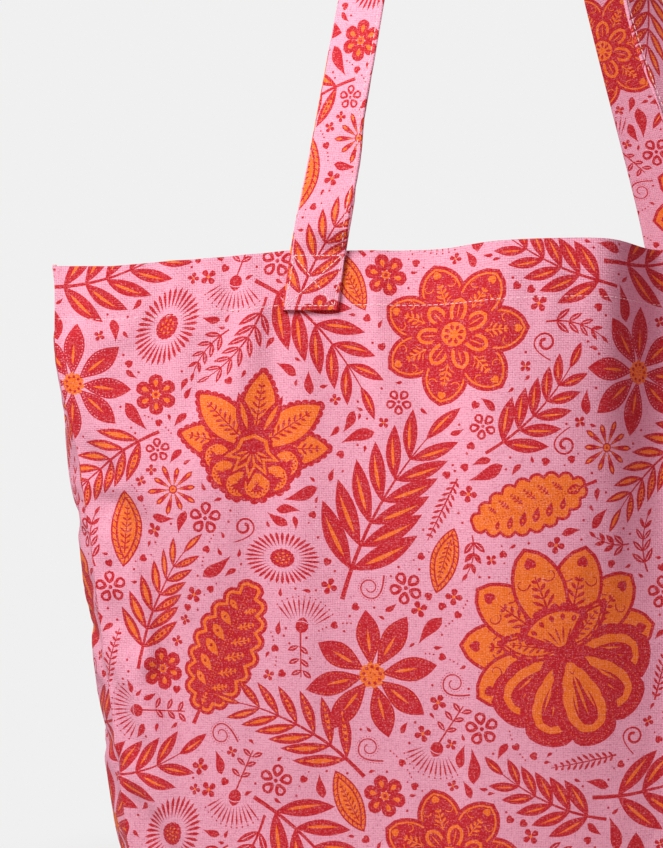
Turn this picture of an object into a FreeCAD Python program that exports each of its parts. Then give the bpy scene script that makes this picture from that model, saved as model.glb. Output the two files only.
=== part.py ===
import FreeCAD, Part
import math
import os

from FreeCAD import Matrix, Vector

# Foldable tote bag: a gusseted canvas shopper with two shoulder straps, standing open.
# +Z is up, +X is the bag's right seen from the front, and the front faces -Y.
# The origin is the centre of the flat base, on the ground plane. Millimetres.
# Gussets and base are each made in two halves that meet at a crease on the plane y = 0.
# Pieces are modelled at the front, and at the left where they come in pairs, then mirrored.

# ---------------------------------------------------------------- bag
TOP_W = 512.0         # width at the rim
BASE_W = 412.0        # width at the base
HEIGHT = 400.0        # base to rim
DEPTH = 120.0         # front face to back face
CLOTH = 0.8           # one layer of canvas
SKIN = 0.05           # gap between layers that lie on each other
CREASE_GAP = 0.15     # from the crease plane to each half

THREAD_W = 0.5        # a line of stitching
THREAD_T = 0.25

FLARE = (TOP_W - BASE_W) / 2.0       # how far each side leans out from base to rim
SLANT = math.hypot(FLARE, HEIGHT)    # length of a side edge
FRONT_Y = -DEPTH / 2.0               # outer face of the front panel
CREASE_Y = -CREASE_GAP               # where a front half ends

# ---------------------------------------------------------------- hem
HEM_H = 29.0          # rim to the hem's stitching
HEM_BELOW = 1.5       # hem ply below its stitching
HEM_TOP_GAP = 0.2     # hem ply below the rim
HEM_Z = HEIGHT - HEM_H
HEM_S = SLANT - HEM_H                       # the same line, measured along a side edge
HEM_INNER_Y = FRONT_Y + 2 * CLOTH + SKIN    # inner face of the front hem

# ---------------------------------------------------------------- seam allowances
SEAM_T = 1.5          # two plies with their overlock
SEAM_W = 8.0
SEAM_GAP = 0.1        # from a seam allowance to the cloth it lies on

# ---------------------------------------------------------------- straps
STRAP_W = 30.0
STRAP_T = 2.0
STRAP_X = 109.0       # bag centre to strap centre at the rim
STRAP_INNER_Y = FRONT_Y - SKIN
STRAP_OUTER_Y = STRAP_INNER_Y - STRAP_T
END_H = 32.0          # rim to the bottom of a sewn strap end
END_TOP_GAP = 0.3     # sewn end below the rim
END_LEAN = 4.6        # how far a sewn end leans outwards at its bottom


def save(name, *solids):
    """Write one piece; several solids go out as a compound."""
    shape = solids[0] if len(solids) == 1 else Part.makeCompound(list(solids))
    for solid in shape.Solids:
        if not solid.isValid() or solid.Volume <= 0:
            raise RuntimeError(name + " is not a valid solid")
    shape.exportStep(os.path.join("parts", name + ".step"))


def mirror_x(shape):
    return shape.mirror(Vector(0, 0, 0), Vector(1, 0, 0))


def mirror_y(shape):
    return shape.mirror(Vector(0, 0, 0), Vector(0, 1, 0))


def save_front_and_back(pattern, *solids):
    """Save front solids and their mirror image; {face} in the name is front or back."""
    save(pattern.replace("{face}", "front"), *solids)
    save(pattern.replace("{face}", "back"), *[mirror_y(solid) for solid in solids])


def save_four(pattern, solid):
    """Save a front left solid in all four quarters; {side} in the name is left or right."""
    save_front_and_back(pattern.replace("{side}", "left"), solid)
    save_front_and_back(pattern.replace("{side}", "right"), mirror_x(solid))


def box(x0, x1, y0, y1, z0, z1):
    return Part.makeBox(x1 - x0, y1 - y0, z1 - z0, Vector(x0, y0, z0))


def plate_xz(points, y0, y1):
    """A flat plate: an outline in X and Z, extruded from y0 to y1."""
    wire = Part.makePolygon([Vector(x, y0, z) for x, z in points + points[:1]])
    return Part.Face(wire).extrude(Vector(0, y1 - y0, 0))


def half_width(z):
    return BASE_W / 2.0 + FLARE * z / HEIGHT


def tapered_plate(z0, z1, inset, y0, y1):
    """A plate between two heights, inset from the bag's slanted side edges."""
    bottom = half_width(z0) - inset
    top = half_width(z1) - inset
    return plate_xz([(-bottom, z0), (bottom, z0), (top, z1), (-top, z1)], y0, y1)


def gusset_box(n0, n1, y0, y1, s0, s1):
    """A box on the left gusset: n inwards from its outer face, s up its slanted edge."""
    up = Vector(-FLARE, 0, HEIGHT).normalize()
    inward = Vector(up.z, 0, -up.x)
    placement = Matrix(
        inward.x, 0, up.x, -BASE_W / 2.0,
        0, 1, 0, 0,
        inward.z, 0, up.z, 0,
        0, 0, 0, 1,
    )
    return box(n0, n1, y0, y1, s0, s1).transformed(placement)


# ---------------------------------------------------------------- front and back panels
PANEL_Z0 = 1.1              # bottom edge of a panel
PANEL_HEM_INSET = 1.2       # hem ply in from the side edges
PANEL_STITCH_INSET = 1.5    # hem stitching in from the side edges
STITCH_END_GAP = 1.0        # hem stitching to the outer edge of a strap end
STITCH_INNER_END_GAP = 1.5  # the same, at the inner edge


def panel():
    return tapered_plate(PANEL_Z0, HEIGHT, 0.0, FRONT_Y, FRONT_Y + CLOTH)


def panel_hem():
    """The turned-in ply of the hem, lying on the panel's inner face."""
    return tapered_plate(HEM_Z - HEM_BELOW, HEIGHT - HEM_TOP_GAP, PANEL_HEM_INSET,
                         HEM_INNER_Y - CLOTH, HEM_INNER_Y)


def panel_hem_stitching():
    """A line of topstitching in three runs, broken at the strap ends."""
    edge = half_width(HEM_Z) - PANEL_STITCH_INSET
    break_in = STRAP_X - STRAP_W / 2.0 - STITCH_INNER_END_GAP
    break_out = STRAP_X + STRAP_W / 2.0 + END_LEAN + STITCH_END_GAP
    runs = [(-edge, -break_out), (-break_in, break_in), (break_out, edge)]
    return [box(x0, x1, FRONT_Y - SKIN - THREAD_T, FRONT_Y - SKIN,
                HEM_Z - THREAD_W / 2.0, HEM_Z + THREAD_W / 2.0) for x0, x1 in runs]


# ---------------------------------------------------------------- side gussets
GUSSET_Y0 = FRONT_Y + CLOTH + 0.2   # front edge, just behind the front panel
GUSSET_S0 = 1.2                     # bottom edge
GUSSET_HEM_GAP = 0.15               # gusset hem to the panel's hem
GUSSET_STITCH_INSET = 1.0           # hem stitching in from both edges of a half
GUSSET_SEAM_S0 = 2.6                # bottom of the base seam
GUSSET_SEAM_H = 7.0
GUSSET_SEAM_FRONT_INSET = 5.0       # base seam behind the bag's front face
GUSSET_SEAM_CREASE_INSET = 2.0      # base seam short of the half's crease edge


def gusset_half():
    return gusset_box(0, CLOTH, GUSSET_Y0, CREASE_Y, GUSSET_S0, SLANT)


def gusset_hem():
    inner = CLOTH + SKIN
    return gusset_box(inner, inner + CLOTH, HEM_INNER_Y + GUSSET_HEM_GAP, CREASE_Y,
                      HEM_S - HEM_BELOW, SLANT - HEM_TOP_GAP)


def gusset_hem_stitching():
    return gusset_box(-SKIN - THREAD_T, -SKIN,
                      GUSSET_Y0 + GUSSET_STITCH_INSET, CREASE_Y - GUSSET_STITCH_INSET,
                      HEM_S - THREAD_W / 2.0, HEM_S + THREAD_W / 2.0)


def gusset_base_seam():
    """Seam allowance along the bottom of a gusset half, on its inner face."""
    inner = CLOTH + SEAM_GAP
    return gusset_box(inner, inner + SEAM_T,
                      FRONT_Y + GUSSET_SEAM_FRONT_INSET, CREASE_Y - GUSSET_SEAM_CREASE_INSET,
                      GUSSET_SEAM_S0, GUSSET_SEAM_S0 + GUSSET_SEAM_H)


# ---------------------------------------------------------------- panel seams and base
SIDE_SEAM_GUSSET_GAP = 0.2   # side seam to the gusset
SIDE_SEAM_S0 = 12.0          # bottom of a side seam
SIDE_SEAM_HEM_GAP = 4.0      # top of a side seam below the hem stitching
BASE_SEAM_INSET = 14.0       # base seam in from the ends of the base
BASE_SEAM_Z0 = 2.4
BASE_SEAM_H = SEAM_W - 0.5
BASE_END_INSET = 1.5         # base cloth in from the bag's sides
BASE_FRONT_INSET = 1.1       # base cloth behind the bag's front face
SEAM_Y = FRONT_Y + CLOTH + SEAM_GAP


def side_seam():
    """Upright seam allowance inside a corner, lying on the panel."""
    inner = CLOTH + SIDE_SEAM_GUSSET_GAP
    return gusset_box(inner, inner + SEAM_W, SEAM_Y, SEAM_Y + SEAM_T,
                      SIDE_SEAM_S0, HEM_S - SIDE_SEAM_HEM_GAP)


def base_seam():
    """Seam allowance along the bottom of a panel, on its inner face."""
    end = BASE_W / 2.0 - BASE_SEAM_INSET
    return box(-end, end, SEAM_Y, SEAM_Y + SEAM_T, BASE_SEAM_Z0, BASE_SEAM_Z0 + BASE_SEAM_H)


def base_half():
    end = BASE_W / 2.0 - BASE_END_INSET
    return box(-end, end, FRONT_Y + BASE_FRONT_INSET, CREASE_Y, 0, CLOTH)


# ---------------------------------------------------------------- sewn strap ends
END_STITCH_INSET = 2.2   # boxed cross in from the sides and bottom of the end
END_STITCH_TOP = 2.5     # boxed cross below the rim


def end_outline(inset, z0, z1):
    """Corners of a leaning four-sided outline on the left strap end, from lower left."""
    lean = END_LEAN / (END_H - END_TOP_GAP)
    half = STRAP_W / 2.0 - inset

    def corner(across, z):
        return (-STRAP_X + across - lean * (HEIGHT - END_TOP_GAP - z), z)

    return [corner(-half, z0), corner(half, z0), corner(half, z1), corner(-half, z1)]


def strap_end():
    outline = end_outline(0.0, HEIGHT - END_H, HEIGHT - END_TOP_GAP)
    return plate_xz(outline, STRAP_OUTER_Y, STRAP_INNER_Y)


def thread(start, end):
    """A straight stitch line in XZ on a strap's outer face, half its width past both points."""
    dx, dz = end[0] - start[0], end[1] - start[1]
    length = math.hypot(dx, dz)
    ux = dx / length * THREAD_W / 2.0
    uz = dz / length * THREAD_W / 2.0
    x0, z0 = start[0] - ux, start[1] - uz
    x1, z1 = end[0] + ux, end[1] + uz
    outline = [(x0 - uz, z0 + ux), (x1 - uz, z1 + ux), (x1 + uz, z1 - ux), (x0 + uz, z0 - ux)]
    return plate_xz(outline, STRAP_OUTER_Y - SKIN - THREAD_T, STRAP_OUTER_Y - SKIN)


def end_stitching():
    """The boxed cross that sews a strap end down."""
    corners = end_outline(END_STITCH_INSET, HEIGHT - END_H + END_STITCH_INSET,
                          HEIGHT - END_STITCH_TOP)
    runs = [thread(corners[i], corners[(i + 1) % 4]) for i in range(4)]
    runs += [thread(corners[0], corners[2]), thread(corners[1], corners[3])]
    return runs[0].fuse(runs[1:]).removeSplitter().Solids[0]


# ---------------------------------------------------------------- strap loops
LOOP_GAP = 0.3           # the loop starts this far above the rim
LOOP_RISE = 298.0        # height of the loop's outer edge
LOOP_SPANS = 28          # lofted spans over the whole arch
LOOP_SQUARE = 0.16       # part of each half over which the band turns from level to square
LOOP_STITCH_INSET = 2.1  # stitching in from the arch's inner edge

# Left half of the loop's outer edge: one cubic from the rim to the top of the arch.
LOOP_START_X = -STRAP_X - STRAP_W / 2.0
LOOP_POLES = (
    Vector(LOOP_START_X, 0, 0),
    Vector(LOOP_START_X + 40.0, 0, 196.0),
    Vector(-60.0, 0, LOOP_RISE),
    Vector(0, 0, LOOP_RISE),
)


def weighted_sum(weights):
    total = Vector(0, 0, 0)
    for weight, pole in zip(weights, LOOP_POLES):
        total = total + pole * weight
    return total


def arch(t):
    """Outer edge point, unit tangent and climb (0 at the rim, 1 at the top), t in 0..1."""
    m = 2 * t if t <= 0.5 else 2 * (1 - t)
    n = 1 - m
    point = weighted_sum((n ** 3, 3 * m * n ** 2, 3 * m * m * n, m ** 3))
    tangent = weighted_sum((-3 * n ** 2, 3 * n ** 2 - 6 * m * n, 6 * m * n - 3 * m * m, 3 * m * m))
    tangent.normalize()
    if t > 0.5:
        point.x = -point.x
        tangent.z = -tangent.z
    return point, tangent, m


def strap_sweep(u0, u1, w0, w1):
    """A lofted strip: u across the band from the arch's outer edge, w out from its inner face."""
    root = Vector(0, STRAP_INNER_Y, HEIGHT + LOOP_GAP)
    wires = []
    for i in range(LOOP_SPANS + 1):
        point, tangent, climb = arch(i / LOOP_SPANS)
        # towards the inside of the arch: level at the rim, then square to the edge
        level = Vector(1 if i <= LOOP_SPANS / 2 else -1, 0, 0)
        square = min(1.0, climb / LOOP_SQUARE)
        inside = level * (1 - square) + Vector(tangent.z, 0, -tangent.x) * square
        inside.normalize()
        # the band is flat to the panel at the rim and lies level at the top
        twist = math.pi / 2 * math.sin(math.pi / 2 * climb)
        wide = inside * math.cos(twist) + Vector(0, -math.sin(twist), 0)
        thick = wide.cross(tangent)
        thick.normalize()
        if i in (0, LOOP_SPANS):
            thick = Vector(0, -1, 0)
        corners = [root + point + wide * u + thick * w
                   for u, w in ((u0, w0), (u1, w0), (u1, w1), (u0, w1))]
        wires.append(Part.makePolygon(corners + corners[:1]))
    return Part.makeLoft(wires, True, True)


def strap_loop():
    return strap_sweep(0.0, STRAP_W, 0.0, STRAP_T)


def strap_edge_stitching():
    u1 = STRAP_W - LOOP_STITCH_INSET
    w0 = STRAP_T + SKIN
    return strap_sweep(u1 - THREAD_W, u1, w0, w0 + THREAD_T)


# ---------------------------------------------------------------- label inside the back hem
LABEL_W, LABEL_H, LABEL_T = 52.0, 20.0, 0.5
LABEL_DROP = 5.0           # rim to the label's top
LABEL_STITCH_INSET = 1.5   # stitching in from the label's edges
LABEL_STITCH_GAP = 0.02
LABEL_STITCH_T = 0.2
LABEL_Y = -HEM_INNER_Y - SKIN - LABEL_T    # face towards the inside of the bag
LABEL_Z = HEIGHT - LABEL_DROP - LABEL_H


def label():
    return box(-LABEL_W / 2, LABEL_W / 2, LABEL_Y, LABEL_Y + LABEL_T, LABEL_Z, LABEL_Z + LABEL_H)


def label_stitching():
    """Two upright lines, one at each end of the label."""
    x0 = -LABEL_W / 2 + LABEL_STITCH_INSET
    y1 = LABEL_Y - LABEL_STITCH_GAP
    line = box(x0, x0 + THREAD_W, y1 - LABEL_STITCH_T, y1,
               LABEL_Z + LABEL_STITCH_INSET, LABEL_Z + LABEL_H - LABEL_STITCH_INSET)
    return [line, mirror_x(line)]


# ---------------------------------------------------------------- write the pieces
os.makedirs("parts", exist_ok=True)

save_front_and_back("{face}_panel", panel())
save_front_and_back("{face}_hem", panel_hem())
save_front_and_back("{face}_hem_stitching", *panel_hem_stitching())

save_four("{side}_gusset_{face}_half", gusset_half())
save_four("{side}_gusset_{face}_hem", gusset_hem())
save_four("{side}_gusset_{face}_hem_stitching", gusset_hem_stitching())
save_four("{side}_gusset_{face}_base_seam", gusset_base_seam())

save_four("{side}_{face}_side_seam", side_seam())
save_front_and_back("{face}_base_seam", base_seam())
save_front_and_back("base_{face}_half", base_half())

save_front_and_back("{face}_strap_loop", strap_loop())
save_front_and_back("{face}_strap_edge_stitching", strap_edge_stitching())
save_four("{face}_strap_{side}_end", strap_end())
save_four("{face}_strap_{side}_box_stitching", end_stitching())

save("inner_label", label())
save("inner_label_stitching", *label_stitching())
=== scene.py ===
"""Foldable tote bag in printed canvas, standing open on its base.

X runs along the front, the front panel faces -Y and Z is up from the floor. The two gussets lean
outwards to -X and +X. Lengths are millimetres until mesh() turns them into metres.
"""

import math
import random

import bpy
import numpy as np
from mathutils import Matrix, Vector
from mathutils.geometry import delaunay_2d_cdt


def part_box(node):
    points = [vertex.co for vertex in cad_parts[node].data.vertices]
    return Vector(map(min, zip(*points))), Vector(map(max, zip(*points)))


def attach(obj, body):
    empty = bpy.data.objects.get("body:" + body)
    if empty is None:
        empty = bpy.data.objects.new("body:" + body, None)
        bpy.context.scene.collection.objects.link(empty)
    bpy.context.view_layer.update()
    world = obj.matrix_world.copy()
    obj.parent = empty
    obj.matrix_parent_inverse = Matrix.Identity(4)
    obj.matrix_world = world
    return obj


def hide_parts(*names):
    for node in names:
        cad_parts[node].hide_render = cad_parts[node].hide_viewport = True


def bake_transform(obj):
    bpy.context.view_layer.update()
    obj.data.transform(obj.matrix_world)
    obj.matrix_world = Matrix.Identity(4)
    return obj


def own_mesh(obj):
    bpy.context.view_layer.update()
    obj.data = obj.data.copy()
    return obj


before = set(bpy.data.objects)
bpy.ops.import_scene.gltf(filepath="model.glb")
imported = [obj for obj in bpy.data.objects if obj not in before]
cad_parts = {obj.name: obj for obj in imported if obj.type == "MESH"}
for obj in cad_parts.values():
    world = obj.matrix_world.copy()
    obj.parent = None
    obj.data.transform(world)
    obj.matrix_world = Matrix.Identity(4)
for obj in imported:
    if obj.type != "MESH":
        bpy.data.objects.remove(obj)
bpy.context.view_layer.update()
scene = bpy.context.scene
MM = 0.001


# ---------------------------------------------------------------- shared arithmetic
def unit(vectors):
    return vectors / np.maximum(np.linalg.norm(vectors, axis=-1, keepdims=True), 1e-9)


def path_lengths(path):
    """Distance along a path at each of its points."""
    return np.concatenate([[0], np.cumsum(np.linalg.norm(np.diff(path, axis=0), axis=1))])


def sample(at, stations, rows):
    """Rows of values known at stations, looked up at other places."""
    return np.stack([np.interp(at, stations, column) for column in rows.T], -1)


def smooth(start, end, x):
    """0 before start, 1 after end, smooth between."""
    t = np.clip((np.asarray(x, float) - start) / (end - start), 0, 1)
    return t * t * (3 - 2 * t)


def blur(values, reach, sigma):
    kernel = np.exp(-0.5 * (np.arange(-reach, reach + 1) / sigma) ** 2)
    return np.convolve(np.pad(values, reach, mode="edge"), kernel / kernel.sum(), mode="valid")


def ccw(outline):
    """The outline, turned round if it runs clockwise."""
    x, y = outline[:, 0], outline[:, 1]
    area = 0.5 * float(np.sum(x * np.roll(y, -1) - np.roll(x, -1) * y))
    return outline[::-1] if area < 0 else outline


def rectangle(x0, x1, y0, y1):
    return [(x0, y0), (x1, y0), (x1, y1), (x0, y1)]


# ---------------------------------------------------------------- drawing tools of the print
# A motif is a list of (ink, outline) painted in order. Most motifs grow along +X from the origin.
PINK, RED, ORANGE = 0, 1, 2
TILE_W, TILE_H = 300, 276          # the repeat


def place_points(points, angle, x, y, flip):
    turn = math.radians(angle)
    c, s = math.cos(turn), math.sin(turn)
    q = points * np.array([1.0, -1.0]) if flip else points
    return np.stack([q[:, 0] * c - q[:, 1] * s + x, q[:, 0] * s + q[:, 1] * c + y], 1)


def move(art, angle=0.0, x=0.0, y=0.0, flip=False):
    return [(ink, place_points(outline, angle, x, y, flip)) for ink, outline in art]


def around(art, angles):
    """Copies of a motif turned about the origin."""
    return [shape for angle in angles for shape in move(art, angle)]


def spokes(count, start=0.0, shift=0.0):
    return [360 / count * (k + shift) + start for k in range(count)]


def swap(art):
    """Red for orange and the other way round."""
    return [({RED: ORANGE, ORANGE: RED}.get(ink, ink), outline) for ink, outline in art]


def polar(radii, angles):
    return np.stack([radii * np.cos(angles), radii * np.sin(angles)], 1)


def disc(x, y, radius, sides=10):
    return polar(radius, np.arange(sides) * 2 * math.pi / sides) + (x, y)


def ring_spots(ink, angles, reach, radius, sides):
    """Discs round the origin; angles in radians."""
    return [(ink, disc(reach * math.cos(a), reach * math.sin(a), radius, sides)) for a in angles]


def petal(length, width, belly=0.5, roundness=1.0, steps=9, start=0.0, bend=0.0):
    """Closed petal along +X. belly is where it is widest; roundness below 1 fills it out."""
    t = np.linspace(0, 1, steps + 1)
    power = math.log(0.5) / math.log(belly)
    half = np.sin(np.pi * t ** power) ** roundness * width / 2
    x = start + length * t
    middle = bend * length * t * t
    upper = np.stack([x, middle + half], 1)
    lower = np.stack([x, middle - half], 1)
    return np.concatenate([upper[::-1], lower[1:-1]])


def leaf(ink, size, length, width, belly=0.5, roundness=1.0, steps=9, start=0.0, bend=0.0):
    """One inked petal; length, width and start are shares of size."""
    outline = petal(size * length, size * width, belly, roundness, steps, size * start, bend)
    return [(ink, outline)]


def across(tangents):
    """Vectors turned a quarter to the left."""
    return np.stack([-tangents[:, 1], tangents[:, 0]], 1)


def closed(outline):
    return np.concatenate([outline, outline[:1]])


def inset(outline, depth):
    """The outline moved inwards, for smooth shapes."""
    outline = ccw(outline)
    normal = across(unit(np.roll(outline, -1, 0) - outline))
    both = normal + np.roll(normal, 1, 0)
    square = np.maximum((both * both).sum(1, keepdims=True), 0.9)
    return outline + both / square * 2 * depth


def serrate(outline, pitch, height):
    """Scalloped edge: lobes of about the pitch along the outline, standing out by height."""
    loop = closed(ccw(outline))
    stations = path_lengths(loop)
    count = max(3, int(round(stations[-1] / pitch))) * 5
    points = sample(np.arange(count) * stations[-1] / count, stations, loop)
    tangent = unit(np.roll(points, -1, 0) - np.roll(points, 1, 0))
    lobes = height * np.abs(np.sin(math.pi * np.arange(count) / 5.0)) ** 0.6
    return points - across(tangent) * lobes[:, None]


def stroke(path, width, end_width=None):
    path = np.asarray(path, float)
    end_width = width if end_width is None else end_width
    half = np.linspace(width, end_width, len(path)) / 2
    offset = across(unit(np.gradient(path, axis=0))) * half[:, None]
    return np.concatenate([path + offset, (path - offset)[::-1]])


def curve_through(p0, p1, p2, count):
    """Quadratic Bezier curve."""
    t = np.linspace(0, 1, count)[:, None]
    p0, p1, p2 = (np.array(p, float) for p in (p0, p1, p2))
    return (1 - t) ** 2 * p0 + 2 * t * (1 - t) * p1 + t * t * p2


def spiral(radius0, radius1, angle0, angle1, count):
    angles = np.radians(np.linspace(angle0, angle1, count))
    return polar(np.linspace(radius0, radius1, count), angles)


def dots(path, pitch, radius, ink):
    path = np.asarray(path, float)
    stations = path_lengths(path)
    count = max(1, int(stations[-1] / pitch))
    at = (np.arange(count) + 0.5) * stations[-1] / count
    return [(ink, disc(x, y, radius, 4)) for x, y in sample(at, stations, path)]


# ---------------------------------------------------------------- motifs
def heart(size):
    angles = np.radians([0, 25, 50, 80, 110, 150, 180, 210, 250, 280, 310, 335])
    radii = np.array([0.55, 0.85, 1.0, 1.0, 0.95, 0.95, 1.15, 0.95, 0.95, 1.0, 1.0, 0.85]) * size
    return [(RED, polar(radii, angles))]


def fern(length, pairs=6, width=0.9, reach=0.28, ink=RED):
    art = [(ink, stroke([(0, 0), (length * 0.5, 0), (length, 0)], width, width * 0.4))]
    for i in range(pairs):
        along = (i + 0.8) / pairs
        size = length * reach * (1.05 - 0.6 * abs(2 * along - 0.9))
        for hand in (1, -1):
            blade = [(ink, petal(size, width * 1.35, 0.6, 0.8, 4))]
            art += move(blade, hand * 48, length * along * 0.93 - size * 0.25, 0)
    return art


def drop(length, width=None):
    return [(RED, petal(length, width or length * 0.42, 0.68, 0.75, 7, bend=0.18))]


def daisy(size, dot_ink=ORANGE):
    art = []
    for k in range(8):
        length = size * (0.86 + 0.05 * math.sin(k * 1.7))
        bend = 0.035 * math.sin(k * 3.1)
        outline = petal(length, size * 0.36, 0.56, 0.92, 10, size * 0.12, bend)
        part = [(RED, outline)] + dots(inset(outline, size * 0.034)[2:-2], 1.75, 0.34, dot_ink)
        part += leaf(ORANGE, size, 0.36, 0.045, 0.4, 1, 5, 0.33)
        art += move(part, 45.0 * k + 5 * math.sin(k * 2.3))
    art.append((ORANGE, serrate(disc(0, 0, size * 0.165, 18), size * 0.1, size * 0.03)))
    ring = [2 * math.pi * k / 9 for k in range(9)]
    art += ring_spots(RED, ring, size * 0.125, size * 0.028, 6)
    return art + ring_spots(RED, (0, 2.1, 4.2), size * 0.04, size * 0.014, 4)


def orange_petal(size, width):
    """Red-edged orange petal with a fern, a heart and two curls."""
    outline = petal(size, width, 0.6, 0.62, 14)
    art = [(RED, outline), (ORANGE, inset(outline, size * 0.034))]
    art += move(fern(size * 0.46, 6, size * 0.026, 0.3), 0, size * 0.26)
    art += move(heart(size * 0.055), 180, size * 0.84)
    tendril = stroke(spiral(size * 0.02, size * 0.075, 0, 250, 8), size * 0.006, size * 0.016)
    for hand in (1, -1):
        art += move([(RED, tendril)], 0, size * 0.7, hand * width * 0.27, hand < 0)
    return art


def scallop_petal(size, width):
    """Broad red petal with an orange band and rays."""
    outline = petal(size, width, 0.62, 0.42, 12)
    band = inset(outline, size * 0.1)
    art = [(RED, serrate(outline, size * 0.3, size * 0.03))]
    art += dots(closed(inset(outline, size * 0.035)), 1.9, 0.33, ORANGE)
    art.append((ORANGE, serrate(band * np.array([0.97, 1.0]), size * 0.2, size * 0.012)))
    art.append((RED, inset(band, size * 0.085)))
    for angle, length in ((-17, 0.36), (-8, 0.44), (0, 0.48), (8, 0.44), (17, 0.36)):
        art += move(leaf(ORANGE, size, length, 0.03, 0.5, 1, 5, 0.22), angle)
    return art


def blossom(size):
    """Three-quarter view: orange petals above, red ones below, round a scalloped heart."""
    art, rims = [], []
    uppers = ((-8, 0.93), (24, 0.97), (156, 0.97), (188, 0.93), (57, 1.0), (123, 1.0), (90, 1.03))
    for angle, share in uppers:
        length = size * share
        rim = petal(length + 1.9, size * 0.56, 0.6, 0.62, 14)
        rims += move(dots(rim[3:-3], 1.9, 0.42, RED), angle)
        art += move(orange_petal(length, size * 0.5), angle)
    for angle, share in ((208, 0.86), (332, 0.86), (239, 0.92), (301, 0.92), (270, 0.95)):
        art += move(scallop_petal(size * share, size * 0.56), angle)
    outline = petal(size * 0.62, size * 0.27, 0.5, 0.75, 11)
    part = [(RED, serrate(outline, size * 0.045, size * 0.012))]
    ring = inset(outline, size * 0.03)
    part += [(ORANGE, stroke(ring[i:i + 2], size * 0.012)) for i in range(1, 20, 2)]
    part.append((ORANGE, inset(outline, size * 0.055)))
    part += move(fern(size * 0.38, 6, size * 0.018, 0.22), 0, size * 0.12)
    art += around(part, (28, 152))
    arc = spiral(size * 0.42, size * 0.42, 38, 142, 14)
    half = np.concatenate([arc, [[-size * 0.05, 0], [size * 0.05, 0]]])
    art.append((RED, serrate(half, size * 0.09, size * 0.035)))
    art.append((ORANGE, inset(half, size * 0.05)))
    stamen = leaf(RED, size, 0.07, 0.045, 0.55, 0.7, 6, 0.285)
    stamen += leaf(RED, size, 0.17, 0.02, 0.6, 0.8, 4, 0.07)
    art += around(stamen, (52, 71, 90, 109, 128))
    art += dots(spiral(size * 0.255, size * 0.255, 48, 132, 12), 1.5, 0.32, RED)
    return rims + art


def rosette(size):
    """Round blossom seen from the front."""
    outline = petal(size, size * 0.62, 0.6, 0.62, 14)
    outer = [(RED, outline), (ORANGE, inset(outline, size * 0.05))]
    outer += [(RED, inset(outline, size * 0.075))] + swap(orange_petal(size, size * 0.62)[2:])
    outline = petal(size * 0.56, size * 0.34, 0.6, 0.5, 9)
    inner = [(RED, serrate(outline, size * 0.13, size * 0.02))]
    inner += [(ORANGE, inset(outline, size * 0.055)), (RED, inset(outline, size * 0.1))]
    inner += leaf(ORANGE, size, 0.2, 0.02, 0.5, 1, 4, 0.22)
    art = around(outer, spokes(7, 90)) + around(inner, spokes(7, 90, 0.5))
    art.append((RED, serrate(disc(0, 0, size * 0.2, 20), size * 0.1, size * 0.03)))
    art.append((ORANGE, disc(0, 0, size * 0.165, 18)))
    return art + around(leaf(RED, size, 0.09, 0.05, 0.6, 0.7, 5, 0.05), spokes(8))


def lotus(size):
    """Side view: serrated leaves over a bowl of small scalloped petals."""
    art = []
    for angle, length in ((8, 0.95), (172, 0.95), (40, 1.0), (140, 1.0), (90, 0.98)):
        outline = petal(size * length, size * 0.46, 0.52, 0.8, 12)
        part = [(RED, serrate(outline, size * 0.09, size * 0.022))]
        part.append((ORANGE, inset(outline, size * 0.04)))
        part += move(fern(size * 0.66, 8, size * 0.024, 0.2), 0, size * 0.16)
        art += move(part, angle)
    blade = leaf(RED, size, 0.72, 0.2, 0.5, 0.9, 9) + leaf(ORANGE, size, 0.34, 0.06, 0.5, 1, 6, 0.26)
    art += around(blade, (68, 112))
    bead = [(RED, serrate(disc(0, 0, size * 0.2, 16), size * 0.11, size * 0.03))]
    bead.append((ORANGE, disc(0, 0, size * 0.15, 12)))
    bead += around(leaf(RED, size, 0.2, 0.03, 0.7, 0.8, 4, -0.08), (-50, -25, 0, 25, 50))
    rim = np.radians([-80, -60, -37, -13, 13, 37, 60, 80])
    bead += ring_spots(RED, rim, size * 0.12, size * 0.014, 4)
    for angle in (196, 344, 225, 315, 255, 285):
        turn = math.radians(angle)
        art += move(bead, angle, size * 0.43 * math.cos(turn), size * 0.43 * math.sin(turn))
    zigzag = []
    for i in range(11):
        turn = math.radians(180 + 18 * i)
        reach = size * (0.44 if i % 2 else 0.25)
        zigzag.append((reach * math.cos(turn), reach * math.sin(turn)))
    zigzag += [(size * 0.2, size * 0.16), (0, size * 0.24), (-size * 0.2, size * 0.16)]
    crown = np.array(zigzag)
    art += [(RED, crown), (ORANGE, crown * 0.8), (RED, crown * 0.62)]
    return art + around(leaf(ORANGE, size, 0.15, 0.03, 0.5, 1, 4, 0.05), range(200, 350, 28))


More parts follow.
